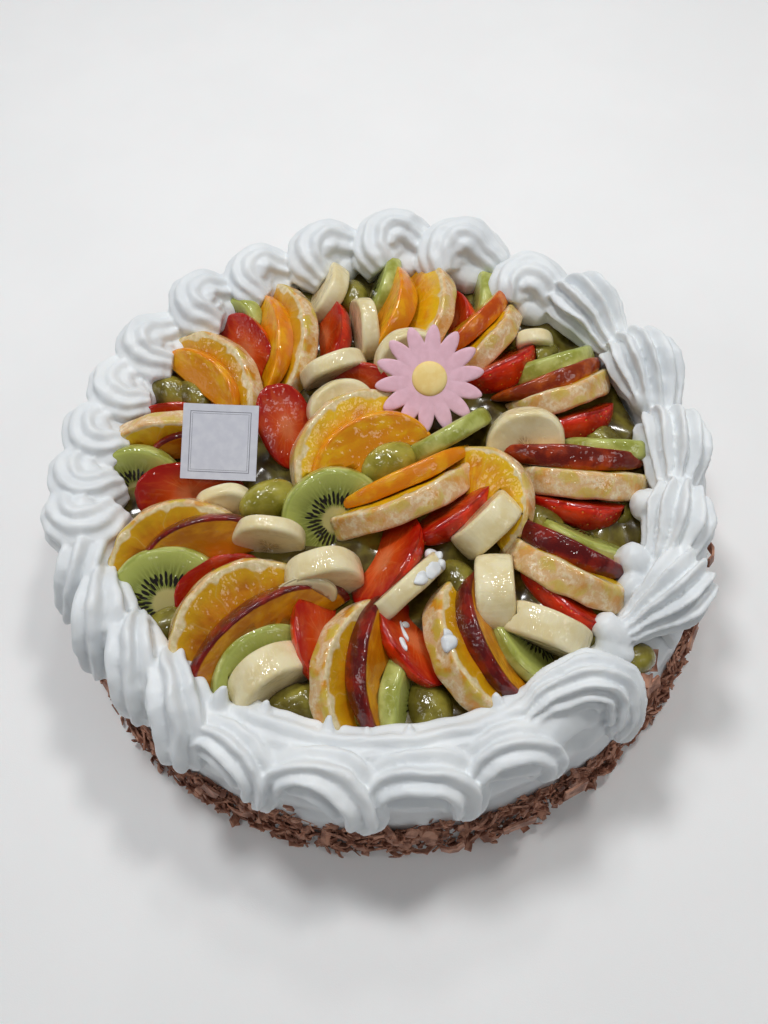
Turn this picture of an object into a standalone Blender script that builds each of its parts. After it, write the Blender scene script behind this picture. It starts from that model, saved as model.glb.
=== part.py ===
"""Fruit sponge cake, 28 cm: a cream-coated cake with chocolate flakes round its side,
a piped cream border, glazed fruit laid in a fan, a sugar daisy and a small card.

Metres, +Z up. The origin is at the centre of the cake's underside.
Azimuths are in degrees, counter-clockwise from +X. The front of the cake is -Y.
"""
import math
import random

import bmesh
import bpy
from mathutils import Matrix, Vector

# Driving dimensions, in metres
MM = 0.001
GAP = 0.35 * MM

DECK_HEIGHT = 46 * MM
DECK_RADIUS = 128 * MM
WALL_RADIUS = 133.5 * MM
FOOT_RADIUS = 140.5 * MM
FLAKE_BAND_HEIGHT = 26 * MM
FLAKE_ROUGHNESS = 1.6 * MM
FLAKE_COUNT = 50

BORDER_RADIUS = 121 * MM
BORDER_SEAT = DECK_HEIGHT + GAP
BORDER_FACES = 1030
BORDER_VOXEL = 1.6 * MM
STAR_DEPTH = 0.3
BORDER_SPLITS = (38.5, 136.5, 223.5, 311)
SPLIT_HALF = 0.09
CUTTER_TOP = 95 * MM
CUTTER_BOTTOM = -5 * MM
CUTTER_REACH = 160 * MM

FRUIT_CENTRE_X = -3.5 * MM
FRUIT_RADIUS_LOW = 110.5 * MM
FRUIT_RADIUS_HIGH = 104.5 * MM
FRUIT_WALL_HEIGHT = 57 * MM
FRUIT_RIM_HEIGHT = 66 * MM

ARC_STEPS = 11
WEDGE_EDGE = 1.6 * MM
DISC_STEPS = 14

DAISY_RADIUS = 22.5 * MM
DAISY_HEART_RADIUS = 7.2 * MM
DAISY_PETALS = 14
PETAL_OUTLINE = ((0.0, 0.64), (0.17, 0.83), (0.34, 0.96), (0.5, 1.0), (0.66, 0.96), (0.83, 0.83))
DAISY_THICKNESS = 1.2 * MM
DAISY_TURN = 15
DAISY_CENTRE = (23.4 * MM, 28.5 * MM, 71 * MM)
CARD_SIDE = 30 * MM
CARD_THICKNESS = 0.8 * MM
CARD_TURN = -8
CARD_CENTRE = (-62.5 * MM, 8.5 * MM, 70 * MM)
DECORATION_TILT = 26

SEED = 12

# Looks: base colour, roughness
LOOKS = {
    "cream": ((0.86, 0.87, 0.88), 0.45),
    "chocolate": ((0.14, 0.05, 0.03), 0.55),
    "citrus": ((0.80, 0.38, 0.03), 0.2),
    "nectarine": ((0.62, 0.20, 0.03), 0.2),
    "kiwifruit": ((0.35, 0.42, 0.08), 0.2),
    "strawberry": ((0.55, 0.02, 0.01), 0.2),
    "banana": ((0.78, 0.68, 0.42), 0.25),
    "grape": ((0.28, 0.24, 0.05), 0.15),
    "sugar_pink": ((0.66, 0.44, 0.55), 0.6),
    "card_white": ((0.60, 0.60, 0.66), 0.5),
}

# Piped shells round the cake: azimuth, kind, size, shift outward (mm), turn (degrees)
SHELLS = [
    (82, "curl", 1.08, 2, 0), (98, "curl", 1.05, 0, 4), (114, "curl", 1.00, -1, -3),
    (129, "curl", 1.04, 0, 3), (144, "curl", 1.00, 1, -2), (156.5, "curl", 0.95, 1, 4),
    (168, "curl", 0.93, 2, 0), (178.5, "curl", 0.94, 3, 8), (188, "curl", 0.96, 3, 22),
    (196.5, "drop", 0.88, 2, 0), (207, "drop", 0.94, 1, 6), (218, "drop", 0.92, 0, 0),
    (229, "drop", 0.96, 0, -6), (241.5, "arch", 0.94, 0, -4), (256.5, "arch", 1.04, 0, 0),
    (271.5, "arch", 1.0, 0, 3), (285.5, "arch", 0.96, -1, 6), (301.5, "hook", 0.96, 1, -2),
    (323, "fan", 0.92, -2, -16), (336, "fan", 0.97, -6, 2), (352, "fan", 1.00, -6, 0),
    (11, "fan", 1.06, -5, 0), (30, "fan", 1.04, -6, 2), (47, "curl", 1.02, -5, -4), (66, "curl", 1.10, 1, 0),
]

# The way the nozzle went in each kind of shell: along the ring, outward, height above the deck
# and radius (mm). The arches and drops hang over the edge, down the outside of the cake.
SHELL_PATHS = {
    "curl": [(-17, -5.5, 7, 6.5), (-11, -3.5, 10.5, 10), (-3, -1.5, 13, 12.8), (4, -4, 13.5, 13.2),
             (6.5, -10, 12.5, 12), (4.5, -15, 10.5, 10), (3, -17.5, 9.5, 8.5)],
    "drop": [(-16, -11, 10, 6), (-10, -7.5, 13, 10), (-2, -3, 14, 12.5), (5, 2, 11, 12.5), (9.5, 6.5, 4, 11),
             (11.5, 9, -2, 9), (12, 10, -6.5, 5.5)],
    "arch": [(-16.5, 6, 3, 5), (-13.5, 3, 8, 7.5), (-6, 1.5, 11.5, 9.5), (3, 2.5, 11.5, 10.5), (10, 5.5, 7.5, 10.5),
             (13, 9, 0, 9.5), (13.5, 11, -6, 7), (13, 11.5, -10, 4)],
    "hook": [(-24, -10, 11, 6), (-11, -9, 14.5, 9), (1, -6.5, 15.5, 11), (8.5, -0.5, 13, 11.5), (10, 7, 5, 10),
             (7.5, 11, -4, 8), (5.5, 12, -8, 5)],
    "fan": [(17, 2, 12, 8), (14.5, 2, 14, 13.5), (8, 1.5, 14.5, 15), (-2, 1, 12.5, 11.8), (-12, 0, 10, 8),
            (-20, -2.5, 8.5, 5)],
}
CURL_CORE = [(-13, -9, 4, 4), (-9, -9.5, 7, 7.5), (-3, -11, 8.5, 8.5), (1, -14, 7.5, 7), (2, -17, 6, 4)]
SHELL_LOBES = {"curl": 8, "drop": 7, "arch": 7, "hook": 10, "fan": 10}
HEAD_SLANT = {"curl": 0.0, "drop": 0.0, "arch": 0.0, "hook": 0.0, "fan": 0.45}

# Fruit. Each row: node, kind, x, y, top height, heading, lean, pitch, length, depth, thickness
# (mm and degrees). The heading is the way the long side points. The piece leans to the right of
# its heading, and its pitch lowers the leading end. A berry of negative length points backwards.
# Rows that share a node lie face to face and are one piece of the model.
FRUIT = [
    ("banana_01", "disc", -9, 93, 66, 76, 38, 0, 31, 30, 9),
    ("banana_02", "disc", 1.5, 71.5, 69, 98, 12, 0, 30, 29, 8),
    ("banana_03", "disc", -15, 44, 70, 198, -20, 0, 29, 26, 8),
    ("banana_03", "disc", -17, 32.5, 70, 203, 45, 0, 29, 28, 9),
    ("banana_04", "disc", 15, 54, 72, 196, 28, 0, 29, 28, 9),
    ("banana_05", "disc", 61, 9, 71, 170, 38, 0, 31, 30, 9),
    ("banana_06", "disc", 41.5, -38, 72, 222, -22, 0, 28, 26, 12),
    ("banana_07", "disc", 36, -62, 71, 264, 8, 0, 29, 25, 14),
    ("banana_08", "disc", 51.5, -80, 70, 151, -12, 0, 32, 28, 12),
    ("banana_09", "disc", 8, -60, 71, 218, -20, 0, 33, 28, 8),
    ("banana_10", "disc", -45.5, -28.5, 70, 172, 6, 0, 28, 27, 7),
    ("banana_10", "disc", -25.5, -47, 71, 186, 5, 0, 29, 29, 11),
    ("banana_11", "disc", -47.5, -83, 67, 208, 6, 0, 31, 30, 13),
    ("kiwifruit_01", "disc", 15, 96, 65, 76, 26, 0, 41, 40, 8),
    ("kiwifruit_02", "disc", 57, 83, 63, 82, 16, 0, 38, 38, 8),
    ("kiwifruit_03", "disc", 81, 35, 65, 14, 32, 0, 40, 40, 9),
    ("kiwifruit_04", "disc", 93, -9.5, 65, 350, 30, 0, 39, 38, 8),
    ("kiwifruit_05", "disc", 69, -47, 62, 325, 38, 0, 40, 38, 7),
    ("kiwifruit_06", "disc", 36, -82, 61, 290, 48, 0, 42, 40, 7),
    ("kiwifruit_07", "disc", -5, -94, 61, 256, 20, 0, 39, 39, 8),
    ("kiwifruit_08", "disc", -57, -71, 63, 218, 45, 0, 42, 40, 7),
    ("kiwifruit_09", "disc", -89, -32, 63, 191, 58, 0, 44, 43, 7),
    ("kiwifruit_10", "disc", -101, 15.5, 63, 180, 40, 0, 40, 40, 8),
    ("kiwifruit_11", "disc", -24, -8, 68, 195, 48, 0, 41, 40, 8),
    ("kiwifruit_12", "disc", 33, 3.5, 70, 207, -28, 0, 39, 36, 8),
    ("citrus_nectarine_01", "slice", -57, 60, 67, 130, 52, 0, 62, 31, 9),
    ("citrus_nectarine_01", "wedge", -66, 53, 66, 133, 58, 0, 44, 14, 9),
    ("citrus_nectarine_02", "slice", -24, 74, 67, 98, 46, 0, 66, 31, 9),
    ("citrus_nectarine_02", "wedge", -35, 69, 66, 94, 50, 0, 54, 20, 10),
    ("citrus_nectarine_03", "slice", 38.5, 77, 67, 82, 46, 0, 64, 31, 9),
    ("citrus_nectarine_03", "wedge", 20, 78, 66, 76, 50, 0, 50, 20, 12),
    ("citrus_nectarine_04", "slice", 58, 51, 66, 48, 40, 0, 56, 28, 10),
    ("citrus_nectarine_04", "wedge", 53, 62, 67, 44, 44, 0, 52, 20, 9),
    ("citrus_nectarine_05", "slice", 82, 17, 66, 16, 36, 0, 48, 24, 10),
    ("citrus_nectarine_05", "wedge", 78, 25, 67, 17, 38, 0, 50, 20, 9),
    ("citrus_nectarine_06", "slice", 77, -25, 66, 348, 34, 0, 60, 30, 11),
    ("citrus_nectarine_06", "wedge", 75, -13, 67, 349, 34, 0, 62, 20, 10),
    ("citrus_nectarine_07", "slice", 60, -62, 67, 325, 34, 0, 56, 28, 11),
    ("citrus_nectarine_07", "wedge", 63, -51, 67, 324, 36, 0, 50, 20, 10),
    ("citrus_nectarine_08", "slice", 13, -83, 66, 282, 48, 0, 58, 29, 11),
    ("citrus_nectarine_08", "wedge", 25, -79, 66, 282, 48, 0, 52, 20, 10),
    ("citrus_nectarine_09", "slice", -27, -79, 66, 249, 44, 0, 60, 30, 10),
    ("citrus_nectarine_09", "wedge", -15, -80, 66, 258, 42, 0, 56, 20, 10.5),
    ("citrus_nectarine_10", "slice", -68, -48, 67, 216, 56, 0, 64, 32, 9),
    ("citrus_nectarine_10", "wedge", -54, -61, 66, 212, 50, 0, 68, 20, 12),
    ("citrus_nectarine_11", "slice", -86, -15, 67, 195, 52, 0, 58, 29, 9),
    ("citrus_nectarine_11", "wedge", -74, -23, 66, 193, 50, 0, 52, 18, 11),
    ("citrus_nectarine_12", "slice", -21, 20, 71, 219, 55, 0, 67, 33, 9),
    ("citrus_nectarine_12", "wedge", -9, 12, 70, 204, 58, 0, 52, 20, 9),
    ("citrus_nectarine_13", "slice", 12.5, -28, 69, 20, 40, 0, 68, 30, 10),
    ("citrus_nectarine_13", "wedge", 12, -15.5, 70, 21, 32, 0, 60, 20, 8),
    ("citrus_nectarine_13", "slice", 54, -16, 68, 112, 54, 0, 48, 24, 8),
    ("citrus_01", "slice", -90, 26, 67, 184, 20, 0, 56, 22, 9),
    ("strawberry_01", "berry", -46, 69, 66, 122, 48, 0, -42, 25, 13),
    ("strawberry_02", "berry", -48, 14, 64, 283, 72, 32, 37, 25, 12),
    ("strawberry_03", "berry", -10.5, 70, 65, 90, 42, 0, -38, 26, 13),
    ("strawberry_04", "berry", -3, 45.5, 65, 160, 40, 0, 26, 20, 10),
    ("strawberry_05", "berry", 46, 74, 62, 88, 35, 0, 30, 20, 10),
    ("strawberry_06", "berry", 57, 37, 67, 24, 40, 0, -38, 28, 15),
    ("strawberry_07", "berry", 82, 8, 64.5, 10, 38, 0, -38, 28, 15),
    ("strawberry_08", "berry", 73, -32, 64, 345, 40, 0, -38, 27, 14),
    ("strawberry_09", "berry", 59, -68, 63, 313, 42, 0, -42, 24, 12),
    ("strawberry_10", "berry", 31, -29.5, 66, 33, 42, 0, 42, 22, 12),
    ("strawberry_11", "berry", 7, -49, 66, 60, 50, 0, -42, 28, 13),
    ("strawberry_12", "berry", -78, 4, 66, 182, 45, 0, -44, 27, 13),
    ("strawberry_13", "berry", -69.5, -38.5, 62, 208, 45, 0, -36, 26, 12),
    ("strawberry_14", "berry", -36, -72.5, 66, 272, 46, 0, 38, 26, 12),
    ("strawberry_15", "berry", -2, -80, 66, 294, 46, 0, 38, 24, 12),
    ("grape_01", "grape", 3, -1, 66, 198, 0, 0, 26, 19, 19),
]


def clear_scene():
    for old in list(bpy.data.objects):
        bpy.data.objects.remove(old, do_unlink=True)


def material(name):
    colour, roughness = LOOKS[name]
    found = bpy.data.materials.get(name)
    if found:
        return found
    made = bpy.data.materials.new(name)
    made.use_nodes = True
    shader = made.node_tree.nodes["Principled BSDF"]
    shader.inputs["Base Color"].default_value = (*colour, 1.0)
    shader.inputs["Roughness"].default_value = roughness
    made.diffuse_color = (*colour, 1.0)
    return made


def add_object(name, bm, looks):
    bmesh.ops.recalc_face_normals(bm, faces=bm.faces)
    mesh = bpy.data.meshes.new(name)
    bm.to_mesh(mesh)
    bm.free()
    for look in looks:
        mesh.materials.append(material(look))
    mesh.shade_smooth()
    mesh.set_sharp_from_angle(angle=math.radians(40))
    made = bpy.data.objects.new(name, mesh)
    bpy.context.scene.collection.objects.link(made)
    return made


def polar(radius, azimuth, height):
    angle = math.radians(azimuth)
    return Vector((radius * math.cos(angle), radius * math.sin(angle), height))


def freeze(target):
    """Replace an object's mesh by what its modifiers make of it."""
    graph = bpy.context.evaluated_depsgraph_get()
    mesh = bpy.data.meshes.new_from_object(target.evaluated_get(graph))
    target.modifiers.clear()
    target.data = mesh


def cut_away(target, cutter, operation="DIFFERENCE"):
    boolean = target.modifiers.new("cut", "BOOLEAN")
    boolean.operation = operation
    boolean.solver = "EXACT"
    boolean.object = cutter
    freeze(target)


def cut_by(target, bm):
    cutter = add_object("cutter", bm, ["cream"])
    cut_away(target, cutter)
    bpy.data.objects.remove(cutter, do_unlink=True)


def keep_largest(target):
    """Keep the largest body of an object and drop the loose scraps that a cut leaves."""
    bm = bmesh.new()
    bm.from_mesh(target.data)
    bmesh.ops.triangulate(bm, faces=bm.faces)
    unseen = set(bm.faces)
    islands = []
    while unseen:
        stack = [unseen.pop()]
        island = []
        while stack:
            face = stack.pop()
            island.append(face)
            for edge in face.edges:
                for other in edge.link_faces:
                    if other in unseen:
                        unseen.remove(other)
                        stack.append(other)
        islands.append(island)
    islands.sort(key=lambda island: sum(face.calc_area() for face in island), reverse=True)
    for island in islands[1:]:
        bmesh.ops.delete(bm, geom=island, context="FACES")
    bm.to_mesh(target.data)
    bm.free()


def add_lathe(bm, profile, steps):
    """Turn a profile of (radius, height) about Z and close it top and bottom."""
    rings = []
    for radius, height in profile:
        rings.append([bm.verts.new(polar(radius, 360 * i / steps, height)) for i in range(steps)])
    bridge_rings(bm, rings)


def bridge_rings(bm, rings):
    """Skin between rings of the same number of points, with a flat cap at each end."""
    count = len(rings[0])
    for low, high in zip(rings, rings[1:]):
        for i in range(count):
            j = (i + 1) % count
            bm.faces.new((low[i], low[j], high[j], high[i]))
    bm.faces.new(list(reversed(rings[0])))
    bm.faces.new(rings[-1])


# Cake body

def body_profile():
    """Radius, height and roughness of the side, from the foot up to the deck."""
    band = FLAKE_BAND_HEIGHT
    return [
        (FOOT_RADIUS, 0.0, 1.0),
        (FOOT_RADIUS - 1.2 * MM, 0.28 * band, 1.0),
        (FOOT_RADIUS - 3.2 * MM, 0.62 * band, 1.0),
        (FOOT_RADIUS - 5.0 * MM, band, 0.7),
        (WALL_RADIUS, band + 4 * MM, 0.15),
        (WALL_RADIUS - 0.8 * MM, DECK_HEIGHT - 5 * MM, 0.15),
        (DECK_RADIUS, DECK_HEIGHT, 0.0),
    ]


def flake_corners(rng, centre, azimuth, length, width, thickness, spin, tip):
    """The eight corners of a chip of chocolate stuck on the side."""
    turn = Matrix.Rotation(math.radians(azimuth), 4, "Z")
    turn = turn @ Matrix.Rotation(math.radians(tip), 4, "Y") @ Matrix.Rotation(math.radians(spin), 4, "X")
    corners = []
    for x in (-0.5, 0.5):
        for y, z in ((-0.5, -0.5), (0.5, -0.5), (0.5, 0.5), (-0.5, 0.5)):
            ragged = rng.uniform(0.7, 1.1)
            local = Vector((x * thickness, y * length * ragged, z * width * ragged))
            corners.append(centre + turn @ local)
    return corners


def add_flake(name, corners):
    bm = bmesh.new()
    points = [bm.verts.new(corner) for corner in corners]
    bridge_rings(bm, [points[:4], points[4:]])
    bmesh.ops.triangulate(bm, faces=bm.faces)
    return add_object(name, bm, ["chocolate"])


def flake_places(rng):
    """Chips spread evenly round the side, and the few that lie on the ledge or stick out."""
    places = []
    for i in range(FLAKE_COUNT):
        azimuth = 360 * (i + rng.uniform(-0.35, 0.35)) / FLAKE_COUNT
        height = rng.uniform(5.5, 25) * MM
        radius = FOOT_RADIUS - 0.19 * height + rng.uniform(-0.3, 0.9) * MM
        length = rng.uniform(6, 11) * MM
        width = rng.uniform(4.5, 7.5) * MM
        places.append((azimuth, radius, height, length, width, rng.uniform(-35, 35), rng.uniform(-25, 35)))
    places.append((157, WALL_RADIUS + 1 * MM, 32 * MM, 12 * MM, 9 * MM, 20, 30))
    places.append((196, WALL_RADIUS + 2 * MM, 26 * MM, 12 * MM, 8 * MM, -15, 25))
    return places


def build_body():
    rng = random.Random(SEED)
    steps = 84
    bm = bmesh.new()
    rings = []
    for radius, height, rough in body_profile():
        ring = []
        for i in range(steps):
            push = rng.uniform(-1, 1) * FLAKE_ROUGHNESS * rough
            lift = rng.uniform(-1, 1) * 2 * MM * rough if 0 < height < DECK_HEIGHT else 0.0
            ring.append(bm.verts.new(polar(radius + push, 360 * i / steps, height + lift)))
        rings.append(ring)
    bridge_rings(bm, rings)
    bmesh.ops.triangulate(bm, faces=bm.faces)
    body = add_object("cake_body", bm, ["cream", "chocolate"])
    for face in body.data.polygons:
        outward = abs(face.normal.z) < 0.9
        face.material_index = 1 if outward and face.center.z < FLAKE_BAND_HEIGHT else 0

    chips = bpy.data.collections.new("chips")
    bpy.context.scene.collection.children.link(chips)
    for index, place in enumerate(flake_places(rng)):
        azimuth, radius, height, length, width, spin, tip = place
        corners = flake_corners(rng, polar(radius, azimuth, height), azimuth, length, width,
                                rng.uniform(2.2, 3.0) * MM, spin, tip)
        chip = add_flake(f"chip_{index:02d}", corners)
        bpy.context.scene.collection.objects.unlink(chip)
        chips.objects.link(chip)
    union = body.modifiers.new("chips", "BOOLEAN")
    union.operation = "UNION"
    union.operand_type = "COLLECTION"
    union.collection = chips
    union.solver = "MANIFOLD"
    freeze(body)
    for chip in list(chips.objects):
        bpy.data.objects.remove(chip, do_unlink=True)
    bpy.data.collections.remove(chips)
    keep_largest(body)
    return body


# Piped cream border

def along_path(rows, share):
    """The numbers of the rows, run smoothly from the first row to the last."""
    spot = share * (len(rows) - 1)
    i = min(int(spot), len(rows) - 2)
    t = spot - i
    before, low, high, after = rows[max(0, i - 1)], rows[i], rows[i + 1], rows[min(len(rows) - 1, i + 2)]
    return [
        0.5 * (2 * b + (c - a) * t + (2 * a - 5 * b + 4 * c - d) * t ** 2 + (3 * b - a - 3 * c + d) * t ** 3)
        for a, b, c, d in zip(before, low, high, after)
    ]


def add_star_tube(bm, points, radii, lobes, depth, steps, slant=0.0):
    """Sweep a rounded star along the points; its ends close to a small flat."""
    rings = []
    for i, point in enumerate(points):
        before = points[max(0, i - 1)]
        after = points[min(len(points) - 1, i + 1)]
        forward = (after - before).normalized()
        side = forward.cross(Vector((0, 0, 1))).normalized()
        up = side.cross(forward)
        lean = slant * (1 - i / (len(points) - 1))
        ring = []
        for k in range(steps):
            angle = 2 * math.pi * k / steps
            ridge = 1 - depth * (1 - abs(math.cos(lobes * angle / 2)) ** 1.5)
            across = radii[i] * ridge * math.cos(angle)
            rise = radii[i] * ridge * math.sin(angle)
            ring.append(bm.verts.new(point + side * across + up * rise - forward * across * lean))
        rings.append(ring)
    bridge_rings(bm, rings)


def shell_points(azimuth, kind, size, shift, turn, count):
    centre = polar(BORDER_RADIUS + shift * MM, azimuth, BORDER_SEAT)
    outward_way = polar(1, azimuth + turn, 0)
    along_way = polar(1, azimuth + turn + 90, 0)
    points = []
    radii = []
    for i in range(count):
        along, outward, height, radius = along_path(SHELL_PATHS[kind], i / (count - 1))
        step = along_way * along + outward_way * outward + Vector((0, 0, height))
        points.append(centre + step * size * MM)
        radii.append(radius * size * MM)
    return points, radii


def rope_points():
    """The bed of cream under the shells, which narrows to a strip at the open gap."""
    points = []
    radii = []
    for i in range(91):
        azimuth = 317.5 + 356 * i / 90
        from_gap = min(1.0, min(i, 90 - i) / 3)
        points.append(polar((112 + 6.5 * from_gap) * MM, azimuth, BORDER_SEAT + (2 + 3 * from_gap) * MM))
        radii.append((5.5 + 4.5 * from_gap) * MM)
    return points, radii


def lip_points():
    """The ridged rope between the fruit and the arches at the front."""
    points = []
    radii = []
    for i in range(61):
        azimuth = 232 + 78 * i / 60
        from_end = min(1.0, min(i, 60 - i) / 8)
        points.append(polar(113 * MM, azimuth, BORDER_SEAT + (4 + 5.5 * from_end) * MM))
        radii.append((3 + 4.8 * from_end) * MM)
    return points, radii


def core_points(azimuth, size, shift, turn):
    """The fold of cream that closes the hollow side of a curl."""
    centre = polar(BORDER_RADIUS + shift * MM, azimuth, BORDER_SEAT)
    outward_way = polar(1, azimuth + turn, 0)
    along_way = polar(1, azimuth + turn + 90, 0)
    points = []
    radii = []
    for along, outward, height, radius in CURL_CORE:
        step = along_way * along + outward_way * outward + Vector((0, 0, height))
        points.append(centre + step * size * MM)
        radii.append(radius * size * MM)
    return points, radii


def add_sector(bm, start, end):
    """A wedge of the whole round, from one azimuth to the other."""
    corners = [(0.0, 0.0)]
    for i in range(25):
        point = polar(CUTTER_REACH, start + (end - start) * i / 24, 0)
        corners.append((point.x, point.y))
    low = [bm.verts.new((x, y, CUTTER_BOTTOM)) for x, y in corners]
    high = [bm.verts.new((x, y, CUTTER_TOP)) for x, y in corners]
    bridge_rings(bm, [low, high])


def build_border(name, start, end):
    """One quarter of the piped border, from one azimuth to the other, cut clear of the body and the fruit."""
    bm = bmesh.new()
    for azimuth, kind, size, shift, turn in SHELLS:
        if start - 12 < azimuth < end + 12 or start - 12 < azimuth + 360 < end + 12:
            points, radii = shell_points(azimuth, kind, size, shift, turn, 20)
            add_star_tube(bm, points, radii, SHELL_LOBES[kind], STAR_DEPTH, 6 * SHELL_LOBES[kind],
                          HEAD_SLANT[kind])
            if kind == "curl":
                points, radii = core_points(azimuth, size, shift, turn)
                add_star_tube(bm, points, radii, 1, 0.0, 12)
    points, radii = rope_points()
    add_star_tube(bm, points, radii, 1, 0.0, 20)
    points, radii = lip_points()
    add_star_tube(bm, points, radii, 1, 0.0, 20)
    bmesh.ops.triangulate(bm, faces=bm.faces)
    border = add_object(name, bm, ["cream"])

    remesh = border.modifiers.new("fuse", "REMESH")
    remesh.mode = "VOXEL"
    remesh.voxel_size = BORDER_VOXEL
    freeze(border)
    bm = bmesh.new()
    add_sector(bm, start, end)
    sector = add_object("sector", bm, ["cream"])
    cut_away(border, sector, "INTERSECT")
    bpy.data.objects.remove(sector, do_unlink=True)
    bm = bmesh.new()
    bm.from_mesh(border.data)
    bmesh.ops.triangulate(bm, faces=bm.faces)
    bm.to_mesh(border.data)
    bm.free()
    decimate = border.modifiers.new("coarsen", "DECIMATE")
    decimate.ratio = BORDER_FACES / len(border.data.polygons)
    freeze(border)

    bm = bmesh.new()
    add_lathe(bm, [
        (WALL_RADIUS + 1.2 * MM, CUTTER_BOTTOM),
        (WALL_RADIUS + 1.2 * MM, DECK_HEIGHT - 4 * MM),
        (DECK_RADIUS + 3.0 * MM, BORDER_SEAT),
    ], 72)
    cut_by(border, bm)
    bm = bmesh.new()
    add_lathe(bm, [
        (FRUIT_RADIUS_LOW + GAP, DECK_HEIGHT - 4 * MM),
        (FRUIT_RADIUS_LOW + GAP, FRUIT_WALL_HEIGHT),
        (FRUIT_RADIUS_HIGH + GAP, FRUIT_RIM_HEIGHT),
        (FRUIT_RADIUS_HIGH + GAP, CUTTER_TOP),
    ], 72)
    bmesh.ops.translate(bm, vec=(FRUIT_CENTRE_X, 0, 0), verts=bm.verts)
    cut_by(border, bm)
    keep_largest(border)
    border.data.materials.clear()
    border.data.materials.append(material("cream"))
    return border


# Fruit: in its own frame each piece has its long side along X, its thickness along Y
# and the middle of its top edge at the origin. It reaches down along -Z.

def outline_slice(length, depth, grow):
    """Half a round slice: an arc over a straight cut."""
    points = []
    for i in range(ARC_STEPS + 1):
        angle = math.pi * i / ARC_STEPS
        points.append(((length / 2 + grow) * math.cos(angle), (depth + grow) * math.sin(angle) - depth))
    points[0] = (points[0][0], points[0][1] - grow)
    points[-1] = (points[-1][0], points[-1][1] - grow)
    return points


def outline_disc(length, depth, grow):
    points = []
    for i in range(DISC_STEPS):
        angle = 2 * math.pi * i / DISC_STEPS
        points.append(((length / 2 + grow) * math.cos(angle), (depth / 2 + grow) * math.sin(angle) - depth / 2))
    return points


def add_plate(bm, outline, thickness_at):
    """A flat piece with the given outline; its thickness may change over its depth."""
    near = []
    far = []
    for x, z in outline:
        half = thickness_at(z) / 2
        near.append(bm.verts.new((x, -half, z)))
        far.append(bm.verts.new((x, half, z)))
    bridge_rings(bm, [near, far])


def add_berry(bm, length, width, thickness, grow):
    """Half a berry from cap (-X) to tip (+X): round skin at -Y, cut face at +Y."""
    stations = [(-0.5, 0.34), (-0.40, 0.80), (-0.14, 1.0), (0.16, 0.86), (0.38, 0.50), (0.5, 0.14)]
    rings = []
    for place, share in stations:
        ring = []
        for k in range(6):
            angle = math.pi * k / 5
            height = (width / 2 * share + grow) * math.cos(angle)
            ring.append((height - width / 2, grow - (thickness * share + 2 * grow) * math.sin(angle)))
        end = math.copysign(grow, place * length) if abs(place) == 0.5 else 0.0
        rings.append([bm.verts.new((place * length + end, y, z)) for z, y in ring])
    bridge_rings(bm, rings)


def add_grape(bm, length, width, grow):
    bmesh.ops.create_uvsphere(bm, u_segments=10, v_segments=7, radius=1.0)
    size = (length / 2 + grow, width / 2 + grow, width / 2 + grow)
    bmesh.ops.scale(bm, vec=size, verts=bm.verts)
    bmesh.ops.translate(bm, vec=(0, 0, -width / 2), verts=bm.verts)


def piece_mesh(kind, length, depth, thickness, grow=0.0):
    def even(z):
        return thickness + 2 * grow

    def taper(z):
        share = max(0.0, 1 + (z - grow) / depth)
        return WEDGE_EDGE + (thickness - WEDGE_EDGE) * share + 2 * grow

    bm = bmesh.new()
    if kind == "slice":
        add_plate(bm, outline_slice(length, depth, grow), even)
    elif kind == "wedge":
        add_plate(bm, outline_slice(length, depth, grow), taper)
    elif kind == "disc":
        add_plate(bm, outline_disc(length, depth, grow), even)
    elif kind == "berry":
        add_berry(bm, length, depth, thickness, grow)
    else:
        add_grape(bm, length, thickness, grow)
    return bm


def piece_place(x, y, top, heading, lean, pitch):
    place = Matrix.Translation((x * MM, y * MM, top * MM))
    place = place @ Matrix.Rotation(math.radians(heading), 4, "Z")
    place = place @ Matrix.Rotation(math.radians(pitch), 4, "Y")
    return place @ Matrix.Rotation(math.radians(lean), 4, "X")


def add_piece(name, row, look, grow=0.0):
    kind, x, y, top, heading, lean, pitch, length, depth, thickness = row[1:]
    bm = piece_mesh(kind, length * MM, depth * MM, thickness * MM, grow)
    bmesh.ops.transform(bm, matrix=piece_place(x, y, top, heading, lean, pitch), verts=bm.verts)
    return add_object(name, bm, [look])


def look_of(row):
    if row[1] == "wedge":
        return "nectarine"
    return row[0].split("_")[0]


def corners_of(target):
    points = [vertex.co for vertex in target.data.vertices]
    low = [min(point[axis] for point in points) for axis in range(3)]
    high = [max(point[axis] for point in points) for axis in range(3)]
    return low, high


def boxes_meet(first, second):
    low_a, high_a = corners_of(first)
    low_b, high_b = corners_of(second)
    return all(low_a[axis] < high_b[axis] and low_b[axis] < high_a[axis] for axis in range(3))


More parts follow.
